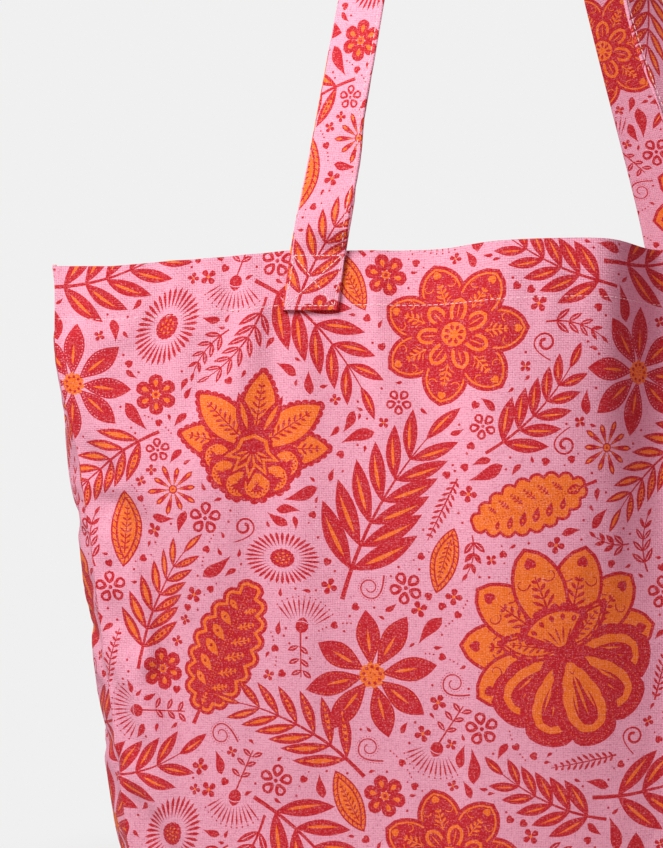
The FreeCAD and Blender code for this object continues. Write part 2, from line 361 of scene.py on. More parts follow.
def paisley(size, width_share=0.46, deep=True):
    """Long scalloped leaf: fern on one side of a dotted rib, eyed drops on the other."""
    width = size * width_share
    edge = serrate(petal(size, width, 0.47, 0.6, 16), size * 0.125, size * 0.034)
    body = []
    for y in (-0.9, 0.9):
        rib = [(size * 0.12, y), (size * 0.5, y + size * 0.01), (size * 0.9, y)]
        body += dots(rib, 1.6, 0.36, RED)
    for i in range(6):
        along = 0.2 + 0.115 * i
        reach = width * 0.4 * math.sin(math.pi * min(1, along + 0.06)) ** 0.7
        eyed = leaf(RED, reach, 0.82, 0.36, 0.6, 0.75, 7)
        eyed.append((ORANGE, disc(reach * 0.5, 0, reach * 0.07, 5)))
        body += move(eyed, 58, size * along, 2.0)
        body += move(fern(reach * 0.8, 4, size * 0.011, 0.3), -58, size * along, -1.8)
    art = [(RED, edge), (ORANGE, inset(edge, size * 0.024))]
    if deep:
        art += [(RED, inset(edge, size * 0.044))] + swap(body)
    else:
        art += body
    base = leaf(RED, size, 0.13, 0.085, 0.5, 0.8, 8)
    base += move(fern(size * 0.1, 3, size * 0.01, 0.3, ORANGE), 0, size * 0.015)
    art += move(base, 0, size * 0.04)
    stalk = [(-size * 0.1, 0), (0, 0), (size * 0.05, 0)]
    return art + [(RED, stroke(stalk, size * 0.03, size * 0.02))]


def bean(size):
    """Simple leaf with a corded edge and a fern inside."""
    outline = petal(size, size * 0.4, 0.5, 0.75, 12, bend=0.06)
    art = [(RED, outline), (ORANGE, inset(outline, size * 0.022))]
    art.append((RED, inset(outline, size * 0.06)))
    outer, inner = inset(outline, size * 0.02), inset(outline, size * 0.062)
    for start, near, after in zip(outer, inner, np.roll(inner, -1, 0)):
        art.append((RED, stroke([start, (near + after) / 2], size * 0.014)))
    art.append((ORANGE, inset(outline, size * 0.085)))
    return art + move(fern(size * 0.62, 8, size * 0.02, 0.17), 2, size * 0.18, size * 0.008)


def frond_leaf(size, width_share, kind, hand):
    outline = petal(size, size * width_share * 1.9, 0.5, 0.9, 8, bend=-0.1 * hand)
    art = [(RED, outline)]
    if kind == "rib":
        art += leaf(ORANGE, size, 0.6, 0.055, 0.4, 1, 6, 0.2, -0.06 * hand)
    elif kind == "filled":
        art.append((ORANGE, inset(outline, max(0.8, size * 0.075))))
        if hand < 0:
            for x in (0.3, 0.42, 0.54, 0.66):
                y = 0.1 * size * x * x
                tail = [(size * (x + 0.01), y), (size * (x + 0.06), y + size * 0.045)]
                art.append((RED, disc(size * x, y, size * 0.036, 6)))
                art.append((RED, stroke(tail, size * 0.016)))
    elif kind == "small" and size > 7:
        art.append((PINK, stroke([(size * 0.2, 0), (size * 0.75, -0.06 * hand * size)], 0.35)))
    return art


def frond(size, pairs, kind, curve, leaf_width, leaf_length):
    """A curved stem with pairs of leaves. kind: 'rib', 'filled' or 'small'."""
    path = curve_through((0, 0), (size * 0.5, size * curve), (size, 0), 14)
    art = [(RED, stroke(path, size * 0.022 + 0.4, 0.5))]
    for i in range(pairs):
        along = 0.16 + 0.8 * i / (pairs - 1)
        station = along * 13
        k = min(12, int(station))
        step = path[k + 1] - path[k]
        x, y = path[k] + step * (station - k)
        heading = math.degrees(math.atan2(step[1], step[0]))
        length = size * leaf_length * (1.08 - 0.5 * along)
        last = i == pairs - 1
        for hand in (1,) if last else (1, -1):
            angle = heading if last else heading + hand * (50 - 14 * along)
            art += move(frond_leaf(length, leaf_width, kind, hand), angle, x, y)
    return art


def thistle(size):
    art = leaf(RED, size, 0.46, 0.36, 0.45, 0.6, 8)
    art.append((PINK, stroke(spiral(size * 0.34, size * 0.34, -38, 38, 8), 0.45)))
    ray = leaf(RED, size, 0.56, 0.05, 0.75, 0.45, 5, 0.44)
    ray.append((RED, disc(size * 1.03, 0, size * 0.028, 5)))
    art += around(ray, [-50 + 100 * i / 11 for i in range(12)])
    stem = curve_through((-size * 1.2, size * 0.25), (-size * 0.5, size * 0.1), (0.02 * size, 0), 8)
    art.append((RED, stroke(stem, size * 0.035, size * 0.05)))
    blade = leaf(RED, size, 0.34, 0.15, 0.55, 0.8, 6)
    blade.append((PINK, stroke([(size * 0.08, 0), (size * 0.26, 0)], 0.35)))
    for x in (-0.35, -0.7, -1.0):
        for hand in (1, -1):
            art += move(blade, 180 - hand * 58, x * size, size * 0.25 * x * x)
    return art


def sunburst(size):
    art = []
    for angle in spokes(34):
        stretch = 1.0 + 0.1 * math.cos(math.radians(2 * angle))
        ray = petal(size * 0.52 * stretch, size * 0.085, 0.7, 0.5, 5, size * 0.44)
        art += move([(RED, ray)], angle)
    art.append((RED, serrate(disc(0, 0, size * 0.31, 16), size * 0.12, size * 0.025)))
    for reach, count in ((0.06, 3), (0.17, 8)):
        ring = [2 * math.pi * k / count for k in range(count)]
        art += ring_spots(ORANGE, ring, size * reach, size * 0.035, 5)
    return [(ink, outline * np.array([1.12, 0.84])) for ink, outline in art]


def flower5(size):
    part = leaf(RED, size, 0.8, 0.66, 0.6, 0.45, 8, 0.2)
    part += leaf(PINK, size, 0.4, 0.3, 0.65, 0.6, 6, 0.44)
    heart_discs = [(PINK, disc(0, 0, size * 0.21, 10)), (RED, disc(0, 0, size * 0.13, 8))]
    return around(part, spokes(5)) + heart_discs


def flower6(size):
    part = leaf(RED, size, 0.86, 0.66, 0.62, 0.45, 9, 0.14)
    part += leaf(ORANGE, size, 0.38, 0.22, 0.65, 0.6, 6, 0.36)
    heart_discs = [(ORANGE, disc(0, 0, size * 0.2, 10)), (RED, disc(0, 0, size * 0.1, 7))]
    return around(part, spokes(6)) + heart_discs


def flower10(size):
    art = []
    for k in range(10):
        length = size * (0.72 + 0.14 * (k % 2))
        tip = size * 0.12 + length * 0.6
        part = [
            (RED, petal(length, size * 0.2, 0.7, 0.55, 7, size * 0.12)),
            (ORANGE, petal(length * 0.3, size * 0.085, 0.6, 0.6, 5, tip)),
            (ORANGE, petal(length * 0.34, size * 0.03, 0.5, 1, 4, size * 0.2)),
        ]
        art += move(part, 36 * k)
    for ink, radius, sides in ((RED, 0.17, 9), (ORANGE, 0.12, 8), (RED, 0.045, 5)):
        art.append((ink, disc(0, 0, size * radius, sides)))
    return art


def cross4(size):
    art = around(leaf(RED, size, 1, 0.7, 0.66, 0.5, 6), spokes(4, 45))
    return art + [(ORANGE, disc(0, 0, size * 0.2, 6))]


def trail(count):
    """A heart between dots."""
    art = heart(2.1)
    for i in range(1, count):
        art.append((RED, disc(2.4 + 2.1 * i, 0.12 * i * i, 0.55, 5)))
        art.append((RED, disc(-2.4 - 2.1 * i, 0.1 * i * i, 0.55, 5)))
    return art


def bud(size):
    art = []
    for angle, bend in ((30, 0.35), (-30, -0.35)):
        art += move(leaf(RED, size, 0.7, 0.3, 0.45, 0.8, 8, bend=bend), angle)
    art += leaf(RED, size, 1, 0.42, 0.5, 0.8, 9)
    art += leaf(ORANGE, size, 0.3, 0.1, 0.6, 0.8, 5, 0.5)
    art.append((RED, stroke([(-size * 0.9, size * 0.1), (-size * 0.4, size * 0.02), (0, 0)], 0.6, 0.9)))
    for x in (-0.25, -0.5, -0.75):
        for hand in (1, -1):
            blade = leaf(RED, size, 0.26, 0.07, 0.6, 0.8, 5)
            art += move(blade, 180 - hand * 50, x * size, size * 0.05)
    return art


def curl(size, dotted=False):
    stem = curve_through((-size * 1.5, -size * 1.1), (size * 1.15, -size * 1.5), (size, 0), 10)
    path = np.concatenate([stem[:-1], spiral(size, size * 0.32, 0, 420, 18)])
    if not dotted:
        return [(RED, stroke(path, size * 0.12, size * 0.34))]
    beside = path - across(unit(np.gradient(path, axis=0))) * 1.3
    return [(RED, stroke(path, 0.9, 0.6))] + dots(beside[:22], 1.5, 0.33, RED)


# ---------------------------------------------------------------- layout of the repeat
# Set one by one: motif, angle, x, y.
LARGE_MOTIFS = (
    (blossom(56), 22, 222, 82),
    (lotus(45), -8, 58, 186),
    (daisy(36), 11, 122, 66),
    (daisy(33, PINK), 40, 262, 226),
    (rosette(38), 15, 164, 246),
    (paisley(76), 66, 28, 46),
    (paisley(62, 0.42, False), 200, 232, 168),
    (frond(100, 7, "rib", 0.12, 0.15, 0.4), 62, 106, 106),
    (frond(80, 7, "filled", -0.16, 0.125, 0.36), 150, 118, 12),
    (bean(44), 84, 284, 122),
    (sunburst(20), 60, 12, 256),
)
# Scattered into the gaps, large ones first: motif, most copies, tries.
FILLERS = (
    (frond(84, 6, "rib", 0.14, 0.155, 0.38), 2, 900),
    (frond(72, 7, "filled", 0.16, 0.14, 0.34), 2, 900),
    (frond(62, 6, "rib", 0.14, 0.17, 0.38), 3, 1200),
    (sunburst(18), 1, 400), (bean(36), 2, 500), (thistle(19), 4, 900),
    (frond(52, 7, "small", 0.2, 0.15, 0.26), 4, 900),
    (flower10(15), 3, 500), (flower6(11.5), 3, 500),
    (frond(44, 5, "rib", 0.16, 0.19, 0.4), 8, 1500),
    (drop(19, 7.0), 8, 900), (flower5(9), 5, 600), (bud(17), 5, 700),
    (fern(36, 10, 1.1, 0.16), 4, 700),
    (frond(30, 5, "small", 0.2, 0.18, 0.3), 8, 900),
    (curl(5.5, True), 4, 500), (curl(5.0), 4, 500),
    (frond(27, 4, "rib", 0.16, 0.22, 0.42), 12, 1300),
    (frond(21, 4, "small", 0.2, 0.22, 0.38), 12, 1000),
    (drop(13, 5.2), 14, 1000), (flower5(7), 5, 500), (cross4(4.6), 12, 900),
    (trail(4), 9, 900), (drop(10), 10, 700), (drop(7.5), 18, 700), (trail(2), 10, 700),
    (heart(2.2), 24, 700), (cross4(3.2), 16, 600), (drop(5), 22, 600),
    (drop(4, 1.8), 40, 900), ([(RED, disc(0, 0, 0.75, 6))], 90, 700),
)


def cover(art, margin):
    """Whole-millimetre points a motif covers, and the same grown by the margin."""
    every = np.concatenate([outline for _, outline in art])
    low, high = every.min(0) - margin - 1, every.max(0) + margin + 1
    xs = np.arange(math.floor(low[0]), math.ceil(high[0]) + 1)
    ys = np.arange(math.floor(low[1]), math.ceil(high[1]) + 1)
    grid_x, grid_y = np.meshgrid(xs, ys, indexing="ij")
    covered = np.zeros(grid_x.shape, bool)
    for _, outline in art:
        first, last = outline.min(0), outline.max(0)
        columns = slice(max(0, np.searchsorted(xs, first[0]) - 1), np.searchsorted(xs, last[0]) + 1)
        rows = slice(max(0, np.searchsorted(ys, first[1]) - 1), np.searchsorted(ys, last[1]) + 1)
        x, y = grid_x[columns, rows], grid_y[columns, rows]
        inside = np.zeros(x.shape, bool)
        for (x1, y1), (x2, y2) in zip(outline, np.roll(outline, -1, 0)):
            if y1 != y2:
                inside ^= ((y1 > y) != (y2 > y)) & (x < (x2 - x1) * (y - y1) / (y2 - y1) + x1)
        covered[columns, rows] |= inside
        corners = np.rint(outline - (xs[0], ys[0])).astype(int)
        covered[tuple(corners.T)] = True
    grown = covered.copy()
    for _ in range(margin):
        before = grown.copy()
        grown[1:] |= before[:-1]
        grown[:-1] |= before[1:]
        grown[:, 1:] |= before[:, :-1]
        grown[:, :-1] |= before[:, 1:]
    return [np.stack([grid_x[m], grid_y[m]], 1).astype(float) for m in (covered, grown)]


def draw_tile():
    """Every motif of the repeat, placed on a torus of TILE_W x TILE_H."""
    rng = random.Random(41)
    used = np.zeros((TILE_W, TILE_H), bool)
    placed = []

    def cells(points, angle, x, y, flip):
        spots = np.rint(place_points(points, angle, x, y, flip)).astype(int)
        return tuple((spots % (TILE_W, TILE_H)).T)

    def put(art, ground, angle, x, y, flip=False):
        used[cells(ground, angle, x, y, flip)] = True
        placed.extend(move(art, angle, x, y, flip))

    def fill(art, count, tries):
        core, ground = cover(art, 1)
        middle = core.mean(0)[None]
        copies = 0
        free = np.argwhere(~used)
        for _ in range(tries):
            if copies >= count or not len(free):
                break
            spot = free[rng.randrange(len(free))]
            angle = rng.uniform(0, 360)
            flip = rng.random() < 0.5
            x, y = spot - place_points(middle, angle, 0, 0, flip)[0]
            if used[cells(core, angle, x, y, flip)].any():
                continue
            put(art, ground, angle, x, y, flip)
            free = np.argwhere(~used)
            copies += 1

    for art, angle, x, y in LARGE_MOTIFS:
        put(art, cover(art, 2)[1], angle, x, y)
    for art, count, tries in FILLERS:
        fill(art, count, tries)
    return placed


# ---------------------------------------------------------------- the bag's surface
panel_low, panel_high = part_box("front_panel")
RIM_Z = panel_high[2] * 1000.0
TOP_HALF = panel_high[0] * 1000.0                                # half width at the rim
FRONT_Y = panel_low[1] * 1000.0                                  # outer face of the front panel
BASE_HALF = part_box("base_front_half")[1][0] * 1000.0 + 1.5       # half width at the base
DEPTH = -2.0 * FRONT_Y
SIDE_UP = np.array([-(TOP_HALF - BASE_HALF), 0.0, RIM_Z])        # up the left gusset
SLANT = float(np.linalg.norm(SIDE_UP))
SIDE_UP /= SLANT
INWARD = np.array([SIDE_UP[2], 0.0, -SIDE_UP[0]])                # into the bag from the left gusset
CLOTH = 0.8
STRAP_X = 110                                                    # where a strap end holds the cloth
FLOOR_GAP = 0.9                                                  # lowest height of a side
CORNER_SAG = 8.5                                                 # drop of the rim at the corners


def half_width(z):
    return BASE_HALF + (TOP_HALF - BASE_HALF) * z / RIM_Z


def smooth_curve(xs, ys, sigma, low, high):
    """A smooth curve through control values, as a lookup."""
    x = np.arange(low, high + 1.0)
    y = blur(np.interp(x, xs, ys), 3 * sigma, sigma)
    return lambda at: np.interp(at, x, y)


# How far the rims bow outwards between the straps, by x, and how that fades downwards, by z.
FRONT_BOW = smooth_curve(
    [-130, -95, -78, -66, -53, -41, -30, -19, -7, 4, 15, 27, 36, 46, 56, 66, 74, 84, 100, 130],
    [0, 0, 1, 1, 4, 11, 26, 36, 40, 42, 43.5, 44, 43.5, 38, 24, 8, 0, -1, 0, 0], 4, -150, 150)
BACK_BOW = smooth_curve([-130, -90, -60, -30, 0, 30, 60, 90, 130],
                        [0, 0, 7, 19, 24, 21, 9, 0, 0], 8, -150, 150)
BOW_FADE = smooth_curve([0, 60, 150, 230, 300, 350, 385, 400],
                        [0, 0.03, 0.14, 0.32, 0.56, 0.79, 0.96, 1.0], 12, 0, 400)


def field(seed, scale, u, v, octaves):
    """Smooth value noise, the same every run."""
    u, v = np.asarray(u, float), np.asarray(v, float)
    out = np.zeros_like(u)
    rng = np.random.RandomState(seed)
    weight, total = 1.0, 0.0
    for octave in range(octaves):
        grid = rng.uniform(-1, 1, (64, 64))
        a, b = u / scale * 2 ** octave + 20.3, v / scale * 2 ** octave + 11.7
        i, j = np.floor(a).astype(int), np.floor(b).astype(int)
        s, t = a - i, b - j
        s, t = s * s * (3 - 2 * s), t * t * (3 - 2 * t)
        i, j = i % 64, j % 64
        i1, j1 = (i + 1) % 64, (j + 1) % 64
        out += weight * (grid[i, j] * (1 - s) * (1 - t) + grid[i1, j] * s * (1 - t)
                         + grid[i, j1] * (1 - s) * t + grid[i1, j1] * s * t)
        total += weight
        weight *= 0.5
    return out / total


def strap_hold(x, z):
    """1 where a strap end is sewn on, so the cloth lies flat there."""
    return (1 - smooth(17, 34, np.abs(np.abs(x) - STRAP_X))) * smooth(350, 366, z)


def seam_in_x(height):
    """How far the side seams are drawn in along X; height runs 0 to 1."""
    return 4.0 * smooth(0.0, 0.14, height) * (1 - smooth(0.70, 0.86, height))


def seam_in_y(height):
    """How far the side seams are drawn in along Y."""
    return 6.5 * smooth(0.0, 0.2, height) * (1 - smooth(0.72, 0.92, height))


def corner_pull(z):
    """How far the top corners lean in."""
    return 5.0 * smooth(345, 398, z)


def loose_wall(x, z, is_back):
    """Front panel, or the back one turned to the front, before the cloth is relaxed."""
    x, z = np.asarray(x, float), np.asarray(z, float)
    width = half_width(z)
    share = np.clip(x / width, -1, 1)
    height = z / RIM_Z
    edge = (1 - np.abs(share)) * width
    seed = 7 if is_back else 3
    shift_x = (-np.sign(share) * seam_in_x(height) * smooth(0.6, 1.0, np.abs(share))
               - np.sign(share) * corner_pull(z) * smooth(0.85, 1.0, np.abs(share)))
    bow = (BACK_BOW(x) if is_back else FRONT_BOW(x)) * BOW_FADE(z)
    # outward: the bow, a broad belly, the seams drawn in
    out = bow + 7.0 * (1 - share * share) * np.sin(np.pi * np.clip(height, 0, 1)) ** 0.9
    out -= seam_in_y(height) * np.exp(-edge / 17.0)
    # soft upright crease beside the seam: a ridge, then a hollow
    out += 2.2 * np.exp(-((edge - 24) / 7.0) ** 2) * smooth(20, 90, z) * (1 - smooth(230, 320, z))
    out -= 1.6 * np.exp(-((edge - 36) / 9.0) ** 2) * smooth(20, 90, z) * (1 - smooth(230, 320, z))
    # broad and fine ripples
    out += (2.4 * field(seed, 95, x + z * 0.35, z * 0.55, 3)
            * smooth(0, 14, edge) * smooth(0, 40, z))
    out += (1.1 * field(seed + 1, 34, x * 1.0 + z * 0.2, z * 0.45, 2)
            * smooth(0, 10, edge) * smooth(0, 30, z))
    hold = strap_hold(x, z)
    out = out * (1 - hold) + 0.15 * hold
    sag = -CORNER_SAG * np.clip((np.abs(x) - 124) / 96.0, 0, 1) * smooth(210, 400, z)
    lift = 0.0 if is_back else 2.0 * (bow / 44.0) ** 2
    wobble = 0.4 * field(seed + 5, 60, x, z, 2) * smooth(300, 400, z) * (1 - hold)
    shift_z = sag + lift - wobble
    return np.stack([x + shift_x, FRONT_Y - out, np.maximum(z + shift_z, FLOOR_GAP)], -1)


def loose_gusset(y, s):
    """Left gusset before the cloth is relaxed: y across, s up the slanted side."""
    y, s = np.asarray(y, float), np.asarray(s, float)
    height = s / SLANT
    share = np.clip(np.abs(y) / (DEPTH / 2), 0, 1)
    z = height * RIM_Z
    hollow = smooth(0.0, 0.16, height) * (1 - 0.72 * smooth(0.70, 0.92, height))
    inward = seam_in_x(height) * share ** 2 - 6.5 * hollow * np.sin(np.pi * share)
    inward += corner_pull(z) * share ** 2
    ripple = field(21, 40, y * 1.3, s * 0.5, 2)
    inward += 1.1 * ripple * np.sin(np.pi * share) * smooth(0, 0.1, height)
    foot = np.array([-BASE_HALF, 0.0, 0.0])
    points = foot + SIDE_UP * s[..., None] + INWARD * inward[..., None]
    points[..., 1] += y * (DEPTH / 2 - seam_in_y(height)) / (DEPTH / 2)
    points[..., 2] += -CORNER_SAG * smooth(210, 400, z) * (0.55 + 0.45 * share)
    points[..., 2] = np.maximum(points[..., 2], FLOOR_GAP)
    return points


def base_surface(x, y):
    x, y = np.asarray(x, float), np.asarray(y, float)
    edge = np.minimum(BASE_HALF - np.abs(x), DEPTH / 2 - np.abs(y))
    z = 0.35 + 1.3 * (0.5 + 0.5 * field(31, 50, x, y, 2)) * smooth(0, 30, edge)
    return np.stack([x, y, z], -1)


# ---------------------------------------------------------------- cloth relaxed as one sheet
CELLS_WALL, CELLS_GUSSET, CELLS_UP = 52, 14, 42
CLOTH_FRAMES = 22
MOST_MOVE = 5.5
HALF_TURN = np.array([-1.0, -1.0, 1.0])        # about Z
MIRROR = np.array([-1.0, 1.0, 1.0])            # left to right


def simulate(verts, quads, hold):
    """Runs the cloth and returns the vertices where they end up, in millimetres."""
    sheet_mesh = bpy.data.meshes.new("relax")
    sheet_mesh.from_pydata((verts * MM).tolist(), [], quads.tolist())
    ob = bpy.data.objects.new("relax", sheet_mesh)
    scene.collection.objects.link(ob)
    group = ob.vertex_groups.new(name="hold")
    for i, weight in enumerate(hold):
        group.add([i], float(weight), "REPLACE")
    cloth = ob.modifiers.new("Cloth", "CLOTH")
    settings = cloth.settings
    settings.quality = 7
    settings.mass = 0.12
    settings.tension_stiffness = settings.compression_stiffness = 18
    settings.shear_stiffness = 8
    settings.bending_stiffness = 0.6
    settings.tension_damping = settings.compression_damping = settings.shear_damping = 8
    settings.bending_damping = 0.6
    settings.air_damping = 2.0
    settings.vertex_group_mass = "hold"
    settings.pin_stiffness = 1.2
    settings.shrink_min = -0.014
    cloth.collision_settings.use_collision = False
    cloth.point_cache.frame_start, cloth.point_cache.frame_end = 1, CLOTH_FRAMES
    for frame in range(1, CLOTH_FRAMES + 1):
        scene.frame_set(frame)
    relaxed = ob.evaluated_get(bpy.context.evaluated_depsgraph_get())
    points = np.zeros(len(relaxed.data.vertices) * 3)
    relaxed.data.vertices.foreach_get("co", points)
    bpy.data.objects.remove(ob)
    bpy.data.meshes.remove(sheet_mesh)
    scene.frame_set(1)
    return points.reshape(-1, 3) / MM


def relax():
    """The open bag as one welded sheet, held at the strap ends, the seams and the floor.

    Returns how far each grid point moved: front, back, left gusset, right gusset.
    """
    across_share = np.linspace(-1, 1, CELLS_WALL + 1)
    up = np.linspace(0, 1, CELLS_UP + 1)
    gusset_y = np.linspace(-DEPTH / 2, DEPTH / 2, CELLS_GUSSET + 1)
    share, wall_up = np.meshgrid(across_share, up, indexing="ij")
    y, gusset_up = np.meshgrid(gusset_y, up, indexing="ij")
    z = wall_up * RIM_Z
    x = share * half_width(z)
    left = loose_gusset(y, gusset_up * SLANT)
    # round the bag, anticlockwise from above
    grids = [loose_wall(x, z, False), left * MIRROR, loose_wall(x, z, True) * HALF_TURN, left[::-1]]
    ring = [grid[:-1] for grid in grids]
    starts = np.cumsum([0] + [len(part) for part in ring])
    count = starts[-1]
    ids = np.arange(count * (CELLS_UP + 1)).reshape(count, CELLS_UP + 1)
    after = np.roll(ids, -1, 0)
    quads = np.concatenate([
        np.stack([ids[:, j], after[:, j], after[:, j + 1], ids[:, j + 1]], 1)
        for j in range(CELLS_UP)])
    verts = np.concatenate(ring).reshape(-1, 3)
    holds = []
    from_middle = np.abs(np.linspace(-1, 1, CELLS_GUSSET + 1)[:-1])
    for k, part in enumerate(ring):
        if k in (0, 2):
            hold = np.maximum(strap_hold(part[..., 0], up * RIM_Z), 0.75 * smooth(0.88, 0.98, up))
        else:
            crease = 0.8 * np.exp(-(from_middle / 0.12) ** 2)
            hold = np.maximum(crease[:, None], 0.7 * smooth(0.88, 0.98, up))
        hold[0] = np.maximum(hold[0], 0.75)
        holds.append(hold)
    hold = np.concatenate(holds)
    hold[:, 0] = 1.0
    hold[:, 1] = np.maximum(hold[:, 1], 0.8)
    hold = np.maximum(hold, 0.05)
    moved = simulate(verts, quads, hold.reshape(-1)) - verts
    far = np.linalg.norm(moved, axis=1, keepdims=True)
    capped = moved / np.maximum(far, 1e-6) * MOST_MOVE * np.tanh(far / MOST_MOVE)
    moved = np.where(far > 1e-6, capped, 0.0).reshape(count, CELLS_UP + 1, 3)
    front, right, back, left = [
        moved[np.arange(starts[k], starts[k + 1] + 1) % count] for k in range(4)]
    return front, back, left[::-1], right


def grid_at(grid, u, v):
    """Smooth (Catmull-Rom) lookup of a grid of vectors; u and v run 0 to 1."""
    nu, nv = grid.shape[0] - 1, grid.shape[1] - 1
    fu, fv = np.clip(u, 0, 1) * nu, np.clip(v, 0, 1) * nv
    i, j = np.minimum(fu.astype(int), nu - 1), np.minimum(fv.astype(int), nv - 1)

    def weights(t):
        return [(-t ** 3 + 2 * t * t - t) / 2, (3 * t ** 3 - 5 * t * t + 2) / 2,
                (-3 * t ** 3 + 4 * t * t + t) / 2, (t ** 3 - t * t) / 2]

    out = np.zeros(u.shape + (3,))
    for p, weight_u in enumerate(weights(fu - i)):
        for q, weight_v in enumerate(weights(fv - j)):
            near = grid[np.clip(i + p - 1, 0, nu), np.clip(j + q - 1, 0, nv)]
            out += (weight_u * weight_v)[..., None] * near
    return out


def wall_surface(moves, is_back):
    """Points of a wall from x and z; the back's x runs towards -X, as seen from behind."""
    turn = HALF_TURN if is_back else 1.0

    def surface(x, z):
        x, z = np.asarray(x, float), np.asarray(z, float)
        share = (x / half_width(z) + 1) / 2
        return loose_wall(x, z, is_back) * turn + grid_at(moves, share, z / RIM_Z)

    return surface


def gusset_surface(moves, mirror):
    """Points of a gusset from y and the distance up its slant."""

    def surface(y, s):
        y, s = np.asarray(y, float), np.asarray(s, float)
        moved = grid_at(moves, (y + DEPTH / 2) / DEPTH, s / SLANT)
        return loose_gusset(y, s) * mirror + moved

    return surface


MOVES = relax()
SURFACE = {
    "front": wall_surface(MOVES[0], False), "back": wall_surface(MOVES[1], True),
    "left": gusset_surface(MOVES[2], 1.0), "right": gusset_surface(MOVES[3], MIRROR),
}
OUT = {"front": (0, -1, 0), "back": (0, 1, 0), "left": (-1, 0, 0), "right": (1, 0, 0)}


def normals(surface, u, v, outward):
    """Unit normals of a surface, on the side of the vector outward."""
    h = 1.2
    along_u = surface(u + h, v) - surface(u - h, v)
    along_v = surface(u, v + h) - surface(u, v - h)
    normal = unit(np.cross(along_u, along_v))
    side = np.sign((normal * np.asarray(outward, float)).sum(-1, keepdims=True))
    return normal * np.where(side == 0, 1, side)


def surface_path(surface, outward, u, v, lift):
    """Points lifted off a surface, and their normals."""
    u, v = np.broadcast_arrays(np.asarray(u, float), np.asarray(v, float))
    normal = normals(surface, u, v, outward)
    return surface(u, v) + normal * lift, normal


# ---------------------------------------------------------------- meshes
def mesh(name, verts, faces, mats, face_mat=None, ink=None, uv=None, bake_uv=None,
         loop_normals=None, smooth_faces=True):
    """An object from verts in mm and arrays of faces; uv is per vertex in mm."""
    verts = np.asarray(verts, float) * MM
    counts = np.concatenate([np.full(len(f), f.shape[1]) for f in faces if len(f)])
    loops = np.concatenate([f.reshape(-1) for f in faces if len(f)])
    data = bpy.data.meshes.new(name)
    data.vertices.add(len(verts))
    data.vertices.foreach_set("co", verts.astype(np.float32).ravel())
    data.loops.add(len(loops))
    data.loops.foreach_set("vertex_index", loops.astype(np.int32))
    data.polygons.add(len(counts))
    starts = np.concatenate([[0], np.cumsum(counts)[:-1]])
    data.polygons.foreach_set("loop_start", starts.astype(np.int32))
    data.polygons.foreach_set("loop_total", counts.astype(np.int32))
    data.update(calc_edges=True)
    for mat in mats:
        data.materials.append(mat)
    if face_mat is not None:
        data.polygons.foreach_set("material_index", face_mat.astype(np.int32))
    if ink is not None:
        attribute = data.attributes.new("ink", "FLOAT", "FACE")
        attribute.data.foreach_set("value", ink.astype(np.float32))
    if uv is not None:
        layer = data.uv_layers.new(name="cloth")
        layer.data.foreach_set("uv", (uv[loops] * MM).astype(np.float32).ravel())
    if bake_uv is not None:
        layer = data.uv_layers.new(name="OFBake")
        layer.data.foreach_set("uv", bake_uv.astype(np.float32).ravel())
    data.polygons.foreach_set("use_smooth", np.full(len(counts), smooth_faces))
    data.validate(clean_customdata=False)
    if loop_normals is not None:
        data.normals_split_custom_set(loop_normals.tolist())
    data.update()
    ob = bpy.data.objects.new(name, data)
    scene.collection.objects.link(ob)
    return ob


PRINT = draw_tile()
PRINT_BOX = np.array([np.concatenate([p.min(0), p.max(0)]) for _, p in PRINT])


def grid_points(low, high, nx, ny):
    xs, ys = np.linspace(low[0], high[0], nx + 1), np.linspace(low[1], high[1], ny + 1)
    x, y = np.meshgrid(xs, ys, indexing="ij")
    return np.stack([x.ravel(), y.ravel()], 1)


def inside_convex(outline, points, margin):
    outline = ccw(outline)
    ok = np.ones(len(points), bool)
    for a, b in zip(outline, np.roll(outline, -1, 0)):
        e = (b - a) / np.linalg.norm(b - a)
        ok &= (e[0] * (points[:, 1] - a[1]) - e[1] * (points[:, 0] - a[0])) > margin
    return ok


def double_areas(points, tris):
    a, b, c = (points[tris[:, i]] for i in range(3))
    return (b[:, 0] - a[:, 0]) * (c[:, 1] - a[:, 1]) - (c[:, 0] - a[:, 0]) * (b[:, 1] - a[:, 1])


def loop_edges(count):
    return np.stack([np.arange(count), (np.arange(count) + 1) % count], 1)


def ink_at(centres, shapes):
    """The ink on top at each centre; shapes are (paint order, ink, outline)."""
    order = np.argsort(centres[:, 0])
    xs, ys = centres[order, 0], centres[order, 1]
    inks = np.full(len(centres), float(PINK))
    for _, ink, outline in shapes:
        (x0, y0), (x1, y1) = outline.min(0), outline.max(0)
        i0, i1 = np.searchsorted(xs, (x0, x1))
        if i1 <= i0:
            continue
        near = np.nonzero((ys[i0:i1] > y0) & (ys[i0:i1] < y1))[0] + i0
        if len(near) == 0:
            continue
        px, py = xs[near][:, None], ys[near][:, None]
        p, q = outline, np.roll(outline, -1, 0)
        upward = (p[:, 1] <= py) & (q[:, 1] > py)
        downward = (p[:, 1] > py) & (q[:, 1] <= py)
        turn = (q[:, 0] - p[:, 0]) * (py - p[:, 1]) - (px - p[:, 0]) * (q[:, 1] - p[:, 1])
        winding = (upward & (turn > 0)).sum(1) - (downward & (turn < 0)).sum(1)
        inks[order[near[winding != 0]]] = ink
    return inks


